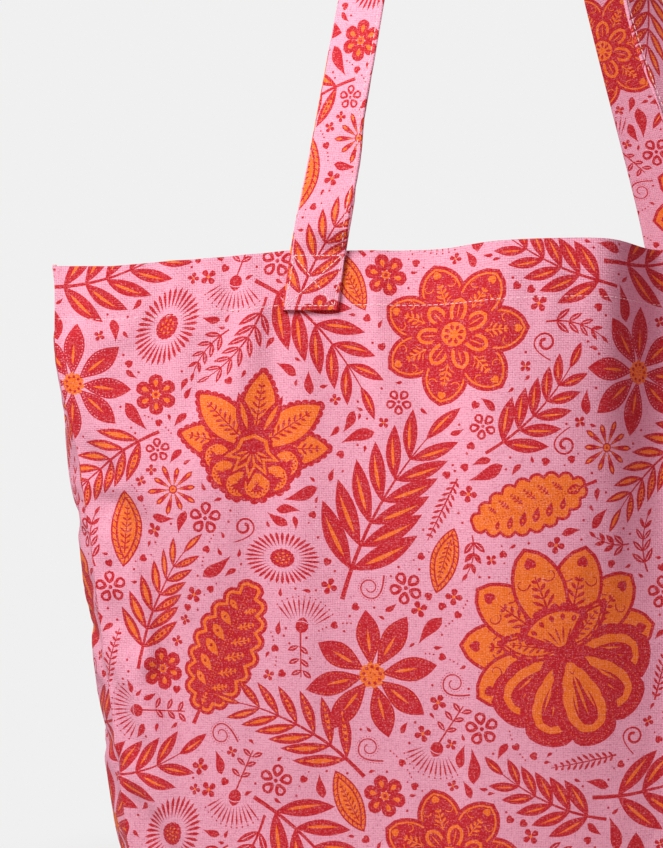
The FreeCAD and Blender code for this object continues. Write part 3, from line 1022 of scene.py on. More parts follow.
def cut_print(outline, origin, step, lines=()):
    """Triangulates the print inside a convex outline, with the repeat moved to origin.

    Returns points, triangles, ink and the boundary loop.
    """
    outline = np.asarray(outline, float)
    low, high = outline.min(0), outline.max(0)
    points, edges, shapes = [outline], [loop_edges(len(outline))], []
    total = len(outline)
    tile = np.array([TILE_W, TILE_H])
    first = np.floor((low - origin) / tile).astype(int) - 1
    last = np.ceil((high - origin) / tile).astype(int) + 1
    for i in range(first[0], last[0]):
        for j in range(first[1], last[1]):
            shift = origin + np.array([i, j]) * tile
            box = PRINT_BOX + np.concatenate([shift, shift])
            near = (box[:, 2:] > low).all(1) & (box[:, :2] < high).all(1)
            for k in np.nonzero(near)[0]:
                ink, shape = PRINT[k]
                shape = shape + shift
                points.append(shape)
                edges.append(total + loop_edges(len(shape)))
                total += len(shape)
                shapes.append((int(k), ink, shape))
    shapes.sort(key=lambda entry: entry[0])          # paint order across neighbouring tiles
    nx, ny = (max(2, int(round(span / step))) for span in high - low)
    inner = grid_points(low, high, nx, ny)
    points.append(inner[inside_convex(outline, inner, 0.4)])
    for a, b in zip(outline, np.roll(outline, -1, 0)):          # extra points along the border
        n = max(1, int(round(np.linalg.norm(b - a) / step)))
        if n > 1:
            points.append(a + (b - a) * (np.arange(1, n) / n)[:, None])
    for a, b in lines:
        total = sum(len(part) for part in points)
        points.append(np.array([a, b], float))
        edges.append(np.array([[total, total + 1]]))
    vectors = [Vector(p) for p in np.concatenate(points)]
    cut = delaunay_2d_cdt(vectors, np.concatenate(edges).tolist(), [], 0, 1e-3, False)
    points = np.array([(p[0], p[1]) for p in cut[0]])
    tris = np.array([f for f in cut[2] if len(f) == 3])
    centres = points[tris].mean(1)
    areas = double_areas(points, tris)
    keep = inside_convex(outline, centres, 0.0) & (np.abs(areas) > 1e-7)
    tris, centres, areas = tris[keep], centres[keep], areas[keep]
    tris[areas < 0] = tris[areas < 0][:, ::-1]
    ink = ink_at(centres, shapes)
    used = np.unique(tris)
    renumber = np.full(len(points), -1)
    renumber[used] = np.arange(len(used))
    tris, points = renumber[tris], points[used]
    return points, tris, ink, border(tris)


def border(tris):
    """The boundary loop of a triangulated disc, anticlockwise."""
    edges = np.concatenate([tris[:, [0, 1]], tris[:, [1, 2]], tris[:, [2, 0]]])
    n = int(tris.max()) + 1
    key, reverse = edges[:, 0] * n + edges[:, 1], edges[:, 1] * n + edges[:, 0]
    edges = edges[~np.isin(key, reverse)]
    after = dict(zip(edges[:, 0].tolist(), edges[:, 1].tolist()))
    start = int(edges[0, 0])
    loop, current = [start], after[start]
    while current != start and len(loop) <= len(edges):
        loop.append(current)
        current = after[current]
    return np.array(loop)


def sheet_bake_uv(q, front_loops, back_loops, rim_count):
    """Bake layout: print in the lower part, back above it, edges in a thin strip on top."""
    split = front_loops + back_loops
    q[:front_loops] = 0.005 + q[:front_loops] * 0.99
    q[front_loops:split] = q[front_loops:split] * np.array([0.99, 0.23]) + np.array([0.005, 0.775])
    t = np.arange(rim_count) / rim_count
    x0, x1 = 0.005 + 0.99 * t, 0.005 + 0.99 * (t + 1.0 / rim_count)
    y = np.tile([0.97, 0.97, 0.995, 0.995], (rim_count, 1))
    q[split:] = np.stack([np.stack([x0, x1, x1, x0], 1), y], 2).reshape(-1, 2)
    return q


HEM_GAP, HEM_CLOTH = 0.4, 0.75
BACK_STEP = 4.0          # grid of a sheet's plain side


def sheet(name, outline, surface, outward, origin, step=5.0, hem=False):
    """Printed cloth on a surface, closed with its paler back and its cut edges.

    A hem lies inside the bag with its print facing inwards.
    """
    if hem:
        side, back_lift = -1, -(CLOTH + HEM_GAP)
        print_lift = back_lift - HEM_CLOTH
    else:
        side, print_lift, back_lift = 1, 0.0, -CLOTH
    points, tris, ink, loop = cut_print(outline, np.array(origin), step)
    u, v = points[:, 0], points[:, 1]
    normal = normals(surface, u, v, outward)
    # the plain side: the same border and a coarse grid
    low, high = points.min(0), points.max(0)
    nx, ny = (max(2, int(span / BACK_STEP)) for span in high - low)
    inner = grid_points(low, high, nx, ny)
    inner = inner[inside_convex(np.asarray(outline, float), inner, BACK_STEP * 0.35)]
    rim_count = len(loop)
    wanted = [Vector(p) for p in points[loop]] + [Vector(p) for p in inner]
    cut = delaunay_2d_cdt(wanted, [], [list(range(rim_count))], 0, 1e-4, True)
    back = np.array([(p[0], p[1]) for p in cut[0]])
    back_tris = np.array([f for f, source in zip(cut[2], cut[5]) if len(f) == 3 and 0 in source])
    kept = len(back) == len(wanted) and np.allclose(back[:rim_count], points[loop], atol=1e-3)
    back_normal = normals(surface, back[:, 0], back[:, 1], outward)
    verts = np.concatenate([surface(u, v) + normal * print_lift,
                            surface(back[:, 0], back[:, 1]) + back_normal * back_lift])
    flat = double_areas(back, back_tris)
    back_tris[flat < 0] = back_tris[flat < 0][:, ::-1]
    # winding: does an anticlockwise triangle face outwards?
    k = len(u) // 2
    here = surface(u[k:k + 1], v[k:k + 1])
    along_u = surface(u[k:k + 1] + 1, v[k:k + 1]) - here
    along_v = surface(u[k:k + 1], v[k:k + 1] + 1) - here
    ccw_out = float((np.cross(along_u, along_v) * np.asarray(outward)).sum()) > 0
    flip = ccw_out != (side > 0)
    count = len(points)
    front_faces = tris[:, ::-1] if flip else tris
    back_faces = (back_tris if flip else back_tris[:, ::-1]) + count
    a0, a1 = loop, np.roll(loop, -1)
    if kept:
        b0 = count + np.arange(rim_count)
    else:          # the triangulation merged border points, so each takes its nearest
        b0 = count + np.array([int(np.argmin(((back - p) ** 2).sum(1))) for p in points[loop]])
    b1 = np.roll(b0, -1)
    rim = np.stack([a0, a1, b1, b0] if flip else [a1, a0, b0, b1], 1)
    uv = np.concatenate([points, back])
    loops = np.concatenate([front_faces.ravel(), back_faces.ravel(), rim.ravel()])
    front_loops, back_loops = len(front_faces) * 3, len(back_faces) * 3
    loop_normals = np.concatenate([normal * side, -back_normal * side])[loops]
    rim_normal = unit(np.cross(verts[rim[:, 1]] - verts[rim[:, 0]],
                               verts[rim[:, 3]] - verts[rim[:, 0]]))
    loop_normals[front_loops + back_loops:] = np.repeat(rim_normal, 4, 0)
    plain_faces = np.zeros(len(back_faces))
    face_mat = np.concatenate([np.zeros(len(tris)), plain_faces + 1, np.full(rim_count, 2)])
    # each edge face takes the ink of the triangle beside it
    big = count + 1
    keys = np.concatenate([tris[:, i] * big + tris[:, j] for i, j in ((0, 1), (1, 2), (2, 0))])
    order = np.argsort(keys)
    beside = order[np.searchsorted(keys[order], a0 * big + a1)] % len(tris)
    inks = np.concatenate([ink, plain_faces, ink[beside]])
    span = max(high[0] - low[0], (high[1] - low[1]) / 0.76)
    bake = sheet_bake_uv((uv[loops] - low) / span, front_loops, back_loops, rim_count)
    return mesh(name, verts, [front_faces, back_faces, rim], CLOTH_MATS, face_mat, inks, uv, bake,
                loop_normals)


def strip(name, surface, u_span, v_span, outward, lift, thick, mat, step=6.0):
    """A closed strip of unprinted cloth on a surface."""
    nu = max(2, int((u_span[1] - u_span[0]) / step * 2))
    nv = max(2, int((v_span[1] - v_span[0]) / step))
    u, v = np.meshgrid(np.linspace(*u_span, nu + 1), np.linspace(*v_span, nv + 1), indexing="ij")
    p = surface(u, v)
    normal = normals(surface, u, v, outward)
    ripple = 0.12 * np.sin(v * 1.1 + u * 0.3)[..., None]
    outer = p + normal * (lift + ripple)
    inner = p + normal * (lift - thick + ripple)
    m = (nu + 1) * (nv + 1)
    ids = np.arange(m).reshape(nu + 1, nv + 1)
    quads = np.stack([ids[:-1, :-1], ids[1:, :-1], ids[1:, 1:], ids[:-1, 1:]], -1).reshape(-1, 4)
    ring = np.concatenate([ids[:, 0], ids[-1, 1:], ids[::-1, -1][1:], ids[0, ::-1][1:-1]])
    after = np.roll(ring, -1)
    rim = np.stack([ring, after, after + m, ring + m], 1)
    facing = np.cross(p[1, 0] - p[0, 0], p[0, 1] - p[0, 0]) * np.asarray(outward)
    if float(facing.sum()) > 0:
        faces = np.concatenate([quads, quads[:, ::-1] + m, rim[:, ::-1]])
    else:
        faces = np.concatenate([quads[:, ::-1], quads + m, rim])
    uv = np.stack([u, v], -1).reshape(-1, 2)
    verts = np.concatenate([outer.reshape(-1, 3), inner.reshape(-1, 3)])
    return mesh(name, verts, [faces], [mat], smooth_faces=False,
                uv=np.concatenate([uv, uv + np.array([40.0, 0.0])]))


# One stitch: where its five sections stand, their heights and widths, and the section's outline.
STITCH_ALONG = np.array([0, 0.18, 0.5, 0.82, 1])
STITCH_HEIGHT = np.array([0.05, 0.75, 1.0, 0.75, 0.05])
STITCH_WIDTH = np.array([0.35, 0.9, 1.0, 0.9, 0.35])
STITCH_SECTION = ((1, -0.15), (0.72, 0.65), (0, 1.0), (-0.72, 0.65), (-1, -0.15))


def stitches(name, runs, mat, length, gap, width, height, slot="thread"):
    """Separate raised stitches along runs, each a pair of points and normals."""
    verts, quads, tris = [], [], []
    for path, path_normals in runs:
        stations = path_lengths(path)
        count = max(1, int(round(stations[-1] / (length + gap))))
        pitch = stations[-1] / count
        for i in range(count):
            at = pitch * i + gap / 2 + (pitch - gap) * STITCH_ALONG
            spots = sample(at, stations, path)
            up = unit(sample(at, stations, path_normals))
            sideways = unit(np.cross(up, unit(spots[-1] - spots[0])))
            high, wide = STITCH_HEIGHT * height, STITCH_WIDTH * width / 2
            b = len(verts)
            for k in range(5):
                for out, rise in STITCH_SECTION:
                    offset = sideways[k] * out * wide[k]
                    verts.append(spots[k] + offset + up[k] * (rise * high[k]))
            for k in range(4):
                row = b + k * 5
                for c in range(5):
                    d = (c + 1) % 5
                    quads.append((row + c, row + d, row + 5 + d, row + 5 + c))
            e = b + 20
            quads += [(b + 3, b + 2, b + 1, b), (e, e + 1, e + 2, e + 3)]
            tris += [(b + 4, b + 3, b), (e + 4, e, e + 3)]
    ob = mesh(name, np.array(verts), [np.array(quads), np.array(tris)], [mat])
    return ob


# ---------------------------------------------------------------- materials
class Shader:
    """Short calls for building a material's node tree."""

    def __init__(self, name):
        self.mat = bpy.data.materials.new(name)
        self.mat.use_nodes = True
        self.tree = self.mat.node_tree
        self.bsdf = self.tree.nodes["Principled BSDF"]

    def add(self, kind, **props):
        node = self.tree.nodes.new(kind)
        for key, value in props.items():
            setattr(node, key, value)
        return node

    def set(self, socket, value):
        if isinstance(value, bpy.types.NodeSocket):
            self.tree.links.new(value, socket)
        else:
            socket.default_value = value

    def inputs(self, node, values):
        for key, value in values.items():
            self.set(node.inputs[key], value)

    def math(self, operation, a, b=0.0, clamp=False):
        node = self.add("ShaderNodeMath", operation=operation, use_clamp=clamp)
        self.set(node.inputs[0], a)
        self.set(node.inputs[1], b)
        return node.outputs[0]

    def plus(self, a, b):
        return self.math("ADD", a, b)

    def minus(self, a, b):
        return self.math("SUBTRACT", a, b)

    def times(self, a, b):
        return self.math("MULTIPLY", a, b)

    def mix(self, share, a, b, blend="MIX"):
        node = self.add("ShaderNodeMix", data_type="RGBA", blend_type=blend)
        self.set(node.inputs[0], share)
        for socket, value in ((node.inputs[6], a), (node.inputs[7], b)):
            linked = isinstance(value, bpy.types.NodeSocket)
            self.set(socket, value if linked else (*value, 1.0))
        return node.outputs[2]

    def tint(self, colour, shade):
        return self.mix(1.0, colour, shade, "MULTIPLY")

    def scaled(self, vector, x, y, z=1.0):
        node = self.add("ShaderNodeVectorMath", operation="MULTIPLY")
        self.set(node.inputs[0], vector)
        node.inputs[1].default_value = (x, y, z)
        return node.outputs[0]

    def cloth_mm(self):
        """The cloth UV map in millimetres."""
        return self.scaled(self.add("ShaderNodeUVMap", uv_map="cloth").outputs[0], 1000.0, 1000.0)

    def noise(self, vector, scale=1.0, detail=2.0, rough=0.5):
        node = self.add("ShaderNodeTexNoise")
        self.inputs(node, {"Vector": vector, "Scale": scale, "Detail": detail, "Roughness": rough})
        return node.outputs[0]

    def ramp(self, x, start, end, low=0.0, high=1.0):
        node = self.add("ShaderNodeMapRange", interpolation_type="SMOOTHSTEP")
        for i, value in enumerate((x, start, end, low, high)):
            self.set(node.inputs[i], value)
        return node.outputs[0]

    def bump(self, height, strength, distance, normal=None):
        node = self.add("ShaderNodeBump")
        self.inputs(node, {"Strength": strength, "Distance": distance, "Height": height})
        if normal is not None:
            self.set(node.inputs["Normal"], normal)
        return node.outputs[0]


THREAD_PITCH = 1.2


def weave(k, vector):
    """Plain weave: thread height, and the unevenness of weft and warp."""
    axes = k.add("ShaderNodeSeparateXYZ")
    k.set(axes.inputs[0], vector)
    wander = k.times(k.minus(k.noise(k.scaled(vector, 0.05, 0.05)), 0.5), 1.2)
    u = k.times(k.plus(axes.outputs[0], wander), math.pi / THREAD_PITCH)
    v = k.times(k.plus(axes.outputs[1], wander), math.pi / THREAD_PITCH)
    ridge_u = k.math("ABSOLUTE", k.math("SINE", u))
    ridge_v = k.math("ABSOLUTE", k.math("SINE", v))
    check = k.times(k.math("SINE", u), k.math("SINE", v))
    over = k.ramp(check, start=-0.2, end=0.2)
    height = k.plus(k.times(over, ridge_u), k.times(k.minus(1.0, over), ridge_v))

    def slubs(long_scale, short_scale):
        coarse = k.noise(k.scaled(vector, *long_scale), detail=3.0, rough=0.7)
        coarse = k.times(coarse, 0.38)
        fine = k.noise(k.scaled(vector, *short_scale), detail=2.0, rough=0.6)
        return k.plus(coarse, k.times(fine, 0.62))

    return height, slubs((0.16, 1.15), (0.75, 2.1)), slubs((1.15, 0.16), (2.1, 0.75))


def cloth_material(name, pink, red, orange, ghost=None):
    """Canvas in the three inks; with ghost, the reverse where the print shows through faintly."""
    k = Shader(name)
    vector = k.cloth_mm()
    height, weft, warp = weave(k, vector)
    if ghost is None:
        ink = k.add("ShaderNodeAttribute", attribute_name="ink").outputs["Fac"]
        colour = k.mix(k.math("MINIMUM", ink, 1.0, clamp=True), pink, red)
        colour = k.mix(k.math("SUBTRACT", ink, 1.0, clamp=True), colour, orange)
    else:
        red_patches = k.noise(vector, scale=0.055, detail=3.0, rough=0.55)
        orange_patches = k.noise(vector, scale=0.09)
        colour = k.mix(k.ramp(red_patches, start=0.50, end=0.56, high=ghost), pink, red)
        share = k.ramp(orange_patches, start=0.56, end=0.62, high=ghost * 0.8)
        colour = k.mix(share, colour, orange)
    # some threads lighter, some darker; the hollows between them are darkened as painted shade
    tone = k.plus(k.times(k.minus(weft, 0.5), 0.55), k.times(k.minus(warp, 0.5), 0.42))
    lighter = k.ramp(tone, start=0.0, end=0.12, high=0.36)
    colour = k.mix(lighter, colour, (0.98, 0.66, 0.72))
    darker = k.ramp(tone, start=0.0, end=-0.11, high=0.90)
    colour = k.mix(darker, colour, k.tint(colour, (0.68, 0.44, 0.49)))
    # painted shade: darker where the weave is low, in the hollows between the threads
    hollow = k.ramp(height, start=0.62, end=0.1, high=0.42)
    colour = k.mix(hollow, colour, k.tint(colour, (0.66, 0.50, 0.54)))
    cloud = k.ramp(k.noise(vector, scale=0.018), start=0.35, end=0.7, high=0.10)
    colour = k.mix(cloud, colour, k.tint(colour, (0.86, 0.78, 0.82)))
    k.inputs(k.bsdf, {
        "Base Color": colour,
        "Roughness": 0.88,          # what the socket holds beneath the link made next
        "Specular IOR Level": 0.26,
        "Sheen Weight": 0.04,
        "Sheen Roughness": 0.5,
    })
    k.set(k.bsdf.inputs["Roughness"], k.ramp(tone, start=-0.15, end=0.15, low=0.92, high=0.74))
    slub = k.plus(k.times(weft, 0.6), k.times(warp, 0.5))
    threads = k.bump(k.plus(k.times(height, 0.5), slub), strength=0.6, distance=0.0006)
    creases = k.noise(vector, scale=0.16, detail=3.0)
    k.set(k.bsdf.inputs["Normal"], k.bump(creases, strength=0.30, distance=0.0012, normal=threads))
    return k.mat


def thread_material(name, colour, dark):
    k = Shader(name)
    coords = k.add("ShaderNodeTexCoord")
    vector = k.scaled(coords.outputs["Object"], 1000.0, 1000.0, 1000.0)
    twist = k.add("ShaderNodeTexWave", wave_type="BANDS", bands_direction="DIAGONAL")
    k.inputs(twist, {"Vector": vector, "Scale": 0.9, "Distortion": 0.6})
    patches = k.noise(vector, scale=0.5)
    mixed = k.mix(k.times(twist.outputs[1], 0.5), colour, dark)
    mixed = k.mix(k.ramp(patches, start=0.4, end=0.75, high=0.4), mixed, dark)
    k.inputs(k.bsdf, {"Base Color": mixed, "Roughness": 0.62, "Sheen Weight": 0.2})
    k.set(k.bsdf.inputs["Normal"], k.bump(twist.outputs[1], strength=0.5, distance=0.00008))
    return k.mat


def label_material():
    k = Shader("blank_woven_label")
    vector = k.cloth_mm()
    axes = k.add("ShaderNodeSeparateXYZ")
    k.set(axes.inputs[0], vector)
    diagonal = k.times(k.plus(axes.outputs[0], axes.outputs[1]), 5.2)
    rib = k.math("ABSOLUTE", k.math("SINE", diagonal))
    streaks = k.noise(k.scaled(vector, 0.2, 2.0), detail=3.0)
    colour = k.mix(k.times(rib, 0.35), (0.80, 0.77, 0.72), (0.92, 0.90, 0.86))
    worn = k.ramp(streaks, start=0.45, end=0.7, high=0.25)
    colour = k.mix(worn, colour, (0.72, 0.67, 0.62))
    k.inputs(k.bsdf, {"Base Color": colour, "Roughness": 0.55, "Sheen Weight": 0.15})
    k.set(k.bsdf.inputs["Normal"], k.bump(rib, strength=0.5, distance=0.00015))
    return k.mat


M_PRINT = cloth_material("printed_canvas", pink=(0.885, 0.405, 0.53), red=(0.60, 0.013, 0.024),
                         orange=(0.96, 0.20, 0.016))
M_BACK = cloth_material("canvas_reverse", pink=(0.90, 0.56, 0.64), red=(0.80, 0.30, 0.36),
                        orange=(0.90, 0.48, 0.36), ghost=0.55)
M_THREAD = thread_material("sewing_thread", colour=(0.94, 0.68, 0.70), dark=(0.80, 0.42, 0.46))
M_OVERLOCK = thread_material("overlock_thread", colour=(0.88, 0.66, 0.70), dark=(0.74, 0.44, 0.50))
M_LABEL = label_material()
CLOTH_MATS = [M_PRINT, M_BACK, M_PRINT]          # print, back, cut edges


def place(ob, body, nodes):
    """Rides on a body, so it turns with that body as the bag is folded, and stands for CAD nodes."""
    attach(ob, body)
    if nodes:
        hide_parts(*nodes)
    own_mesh(ob)


# ---------------------------------------------------------------- panels, gussets and base
CLOTH_FOOT = 1.0                           # lower edge of the walls
HEM_Z = RIM_Z - 29.0                       # stitching line of the wall hems
GUSSET_HALF = DEPTH / 2 - 0.95
CREASE = 0.06                              # half gap between the two halves of a gusset or the base
PRINT_ORIGIN = {"front": (98.0, 109.0), "back": (-120.0, 30.0),
                "left": (81.0, 140.0), "right": (200.0, 15.0)}


def trapezium(z0, z1, margin):
    low, high = half_width(z0) - margin, half_width(z1) - margin
    return [(-low, z0), (low, z0), (high, z1), (-high, z1)]


def wall_panel(side):
    x, y = PRINT_ORIGIN[side]
    ob = sheet(side + "_panel_cloth", trapezium(CLOTH_FOOT, RIM_Z, 0.0), SURFACE[side], OUT[side],
               (x, y))
    place(ob, side, [side + "_panel"])
    ob = sheet(side + "_hem_fold", trapezium(HEM_Z - 1.5, RIM_Z - 0.1, 1.3), SURFACE[side],
               OUT[side], (x + 140, -y), hem=True)
    place(ob, side, [side + "_hem"])


def gusset_half(side, end):
    def surface(u, s):          # u runs to the right, as seen from outside
        return SURFACE[side](-u if side == "left" else u, s)

    sign = 1.0 if (side == "left") == (end == "front") else -1.0
    body = side + "_gusset_" + end
    x, y = PRINT_ORIGIN[side]
    u0, u1 = sorted((sign * CREASE, sign * GUSSET_HALF))
    ob = sheet(body + "_cloth", rectangle(u0, u1, CLOTH_FOOT + 0.2, SLANT), surface, OUT[side],
               (x, y), step=6.0)
    place(ob, body, [body + "_half"])
    u0, u1 = sorted((sign * CREASE, sign * (GUSSET_HALF - 1.0)))
    ob = sheet(body + "_hem_fold", rectangle(u0, u1, SLANT - 30.5, SLANT - 0.1), surface,
               OUT[side], (x + 70, y + 90), hem=True)
    place(ob, body, [body + "_hem"])


def base_half(end):
    y0, y1 = (FRONT_Y + 1.0, -CREASE) if end == "front" else (CREASE, -FRONT_Y - 1.0)
    outline = rectangle(-BASE_HALF + 1.2, BASE_HALF - 1.2, y0, y1)
    ob = sheet("base_" + end + "_cloth", outline, base_surface, (0, 0, -1), (10.0, 77.0))
    place(ob, "base_" + end, ["base_" + end + "_half"])


GUSSET_HALVES = [(side, end) for side in ("left", "right") for end in ("front", "back")]
for side in ("front", "back"):
    wall_panel(side)
for side, end in GUSSET_HALVES:
    gusset_half(side, end)
for end in ("front", "back"):
    base_half(end)

# ---------------------------------------------------------------- stitching on the hems
HEM_STITCH = dict(length=2.7, gap=0.75, width=0.5, height=0.26)
SUNK = -0.05          # the hem stitches are bedded this far into the cloth

for side in ("front", "back"):
    end_x = half_width(HEM_Z) - 1.2
    runs = []
    for x0, x1 in ((-end_x, -130.0), (-92.0, 92.0), (130.0, end_x)):          # between strap ends
        x = np.linspace(x0, x1, int((x1 - x0) / 3) + 2)
        z = HEM_Z + 0.25 * np.sin(x / 23.0)
        runs.append(surface_path(SURFACE[side], OUT[side], x, z, SUNK))
    ob = stitches(side + "_hem_topstitch", runs, M_THREAD, **HEM_STITCH)
    place(ob, side, [side + "_hem_stitching"])
for side, end in GUSSET_HALVES:
    sign = -1.0 if end == "front" else 1.0
    y = np.linspace(sign * 0.8, sign * (GUSSET_HALF - 0.6), 30)
    body = side + "_gusset_" + end
    run = surface_path(SURFACE[side], OUT[side], y, SLANT - 29.0, SUNK)
    ob = stitches(body + "_hem_topstitch", [run], M_THREAD, **HEM_STITCH)
    place(ob, body, [body + "_hem_stitching"])

# ---------------------------------------------------------------- seam allowances and overlock
OVERLOCK_PITCH = 3.4


def seam(name, body, side, surface, u_span, v_span, zigzag, along_v=False):
    """A seam allowance inside the bag, with zigzag threads over its raw edge.

    zigzag holds where the threads turn: at the edge, and inside it.
    """
    ob = strip(name + "_allowance", surface, u_span, v_span, OUT[side], -(CLOTH + 0.45), 1.1,
               M_BACK)
    place(ob, body, [name])
    start, end = v_span if along_v else u_span
    count = int((end - start) / OVERLOCK_PITCH)
    turns = np.arange(2 * count + 1)
    along = start + turns * (end - start) / (2 * count)
    sideways = np.where(turns % 2 == 0, *zigzag)
    u, v = (sideways, along) if along_v else (along, sideways)
    run = surface_path(surface, -np.array(OUT[side]), u, v, CLOTH + 1.52)
    length = float(np.linalg.norm(run[0][1] - run[0][0])) - 0.3
    ob = stitches(name + "_overlock", [run], M_OVERLOCK, length=length, gap=0.3, width=0.5,
                  height=0.3, slot="seam_allowance")
    place(ob, body, [])


def side_seam(side, hand):
    # which end of that wall's own x
    sign = -1.0 if (hand == "left") == (side == "front") else 1.0

    def surface(from_edge, z):
        return SURFACE[side](sign * (half_width(z) - from_edge), z)

    seam(hand + "_" + side + "_side_seam", side, side, surface, (1.3, 8.6), (8.0, RIM_Z - 34.0),
         zigzag=(8.5, 4.6), along_v=True)


for side in ("front", "back"):
    for hand in ("left", "right"):
        side_seam(side, hand)
    seam(side + "_base_seam", side, side, SURFACE[side], (-BASE_HALF + 13.0, BASE_HALF - 13.0),
         (2.6, 9.8), zigzag=(9.7, 6.0))
for side, end in GUSSET_HALVES:
    sign = -1.0 if end == "front" else 1.0
    body = side + "_gusset_" + end
    seam(body + "_base_seam", body, side, SURFACE[side], sorted((sign * 2.2, sign * 54.5)),
         (2.8, 9.4), zigzag=(9.3, 5.8))

# ---------------------------------------------------------------- blank label inside the back hem
(LABEL_X0, _, LABEL_Z0), (LABEL_X1, _, LABEL_Z1) = (
    [1000.0 * value for value in corner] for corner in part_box("inner_label"))
LABEL_DEPTH = CLOTH + HEM_GAP + HEM_CLOTH + 0.15
ob = strip("blank_label", SURFACE["back"], (LABEL_X0, LABEL_X1), (LABEL_Z0, LABEL_Z1), OUT["back"],
           -LABEL_DEPTH, 0.35, M_LABEL, step=3.0)
place(ob, "back", ["inner_label"])
z = np.linspace(LABEL_Z0 + 1.2, LABEL_Z1 - 1.2, 8)
runs = [surface_path(SURFACE["back"], (0, -1, 0), x, z, LABEL_DEPTH + 0.33)
        for x in (LABEL_X0 + 1.6, LABEL_X1 - 1.6)]
ob = stitches("blank_label_stitching", runs, M_OVERLOCK, length=1.8, gap=0.6, width=0.35,
              height=0.2)
place(ob, "back", ["inner_label_stitching"])

# ---------------------------------------------------------------- straps
BAND_W, BAND_T = 30.0, 2.0
BAND_X = 109.0                                # middle of a strap end, from the bag's middle
STRAP_RISE = 298.0
END_H, END_LEAN = 32.0, 4.6                   # sewn end: height, and how far it leans out
EDGE_X = -BAND_X - BAND_W / 2
STRAP_CURVE = np.array([                      # Bezier of the left half's outer edge: x, z over rim
    (EDGE_X, 0.0), (EDGE_X + 40.0, 196.0), (-60.0, STRAP_RISE), (0.0, STRAP_RISE)])
BAND_FLAT = BAND_W - BAND_T                   # the band's section: two flats and two round edges
BAND_ROUND = math.pi * BAND_T / 2
BAND_RING = 2 * (BAND_W - BAND_T) + math.pi * BAND_T
# Sideways sway of each strap: share along the loop, mm along X.
SWAY = {
    "front": ([0, 0.08, 0.2, 0.35, 0.5, 0.68, 0.795, 0.89, 0.97, 1],
              [0, 0, -2.2, -5.0, -11.0, -20.5, -22.0, -12.5, -2.4, 0]),
    "back": ([0, 0.06, 0.12, 0.2, 0.3, 0.5, 0.66, 0.76, 0.86, 0.95, 1],
             [0, -0.6, -2.4, -4.6, -5.4, -5.0, -5.8, -4.6, -0.8, 1.5, 0]),
}
SWAY_PHASE = {"front": 1.0, "back": 2.5}
STRAP_ORIGIN = {"front": (13.0, 205.0), "back": (170.0, 40.0)}


def half_rail(quick_turn):
    """Stations of the left half: edge point, across, outwards, thickness."""
    y_in = FRONT_Y - 0.12
    rows = []
    for z in np.linspace(-END_H, -0.5, 9):
        lean = -END_LEAN * (-z) / END_H
        thick = 2.9 - 0.8 * float(smooth(-24, -8, z))
        rows.append(((EDGE_X + lean, y_in, RIM_Z + z), (1.0, 0.0, 0.0), (0.0, -1.0, 0.0), thick))
    for m in np.linspace(0.0, 1.0, 60):
        n = 1 - m
        x, z = np.array([n ** 3, 3 * m * n ** 2, 3 * m * m * n, m ** 3]) @ STRAP_CURVE
        slope = [-3 * n ** 2, 3 * n ** 2 - 6 * m * n, 6 * m * n - 3 * m * m, 3 * m * m]
        along_x, along_z = np.array(slope) @ STRAP_CURVE
        size = math.hypot(along_x, along_z)
        along_x, along_z = along_x / size, along_z / size
        twist = 90.0 * math.sin(math.radians(90) * m)
        if quick_turn:
            # turns at once above the rim, but never so far that it would meet the panel below
            early = 20.0 * float(smooth(-2, 15, z)) + 12.0 * float(smooth(42, 80, z))
            twist = min(90.0, (twist ** 12 + early ** 12) ** (1 / 12))
        else:
            twist = twist * (0.74 + 0.26 * float(smooth(0.35, 0.75, m)))
        twist = math.radians(twist)
        square = min(1.0, m / 0.16)
        side_x, side_z = (1 - square) + along_z * square, -along_x * square
        size = math.hypot(side_x, side_z)
        side_x, side_z = side_x / size, side_z / size
        wide = np.array([side_x * math.cos(twist), -math.sin(twist), side_z * math.cos(twist)])
        outward = unit(np.cross(wide, [along_x, 0, along_z]))
        if m == 0:
            outward = np.array([0.0, -1.0, 0.0])
        thick = 2.1 - 0.15 * math.sin(m * 9)
        rows.append(((x, y_in, RIM_Z + 0.3 + z), wide, outward, thick))
    return [np.array(column, float) for column in zip(*rows)]


def strap_rail(side):
    """Stations from the left sewn end over the top to the right one, with their distances."""
    *first, thick = half_rail(True)
    *second, second_thick = half_rail(side == "front")
    edge, wide, outward = (
        np.concatenate([p, q[::-1][1:] * MIRROR]) for p, q in zip(first, second))
    thick = np.concatenate([thick, second_thick[::-1][1:]])
    stations = path_lengths(edge)
    f = (stations - END_H) / (stations[-1] - 2 * END_H)
    sway = blur(np.interp(f, *SWAY[side]), 6, 2.5) * smooth(0.0, 0.05, f) * smooth(0.0, 0.05, 1 - f)
    wave = (1.6 * np.sin(f * 9.0 + SWAY_PHASE[side])
            * smooth(0.05, 0.2, f) * smooth(0.05, 0.2, 1 - f))
    edge = edge + np.stack([sway, wave, np.zeros_like(sway)], 1)
    if side == "back":
        for rows in (edge, wide, outward):
            rows[:, 1] *= -1
    return stations, edge, wide, outward, thick


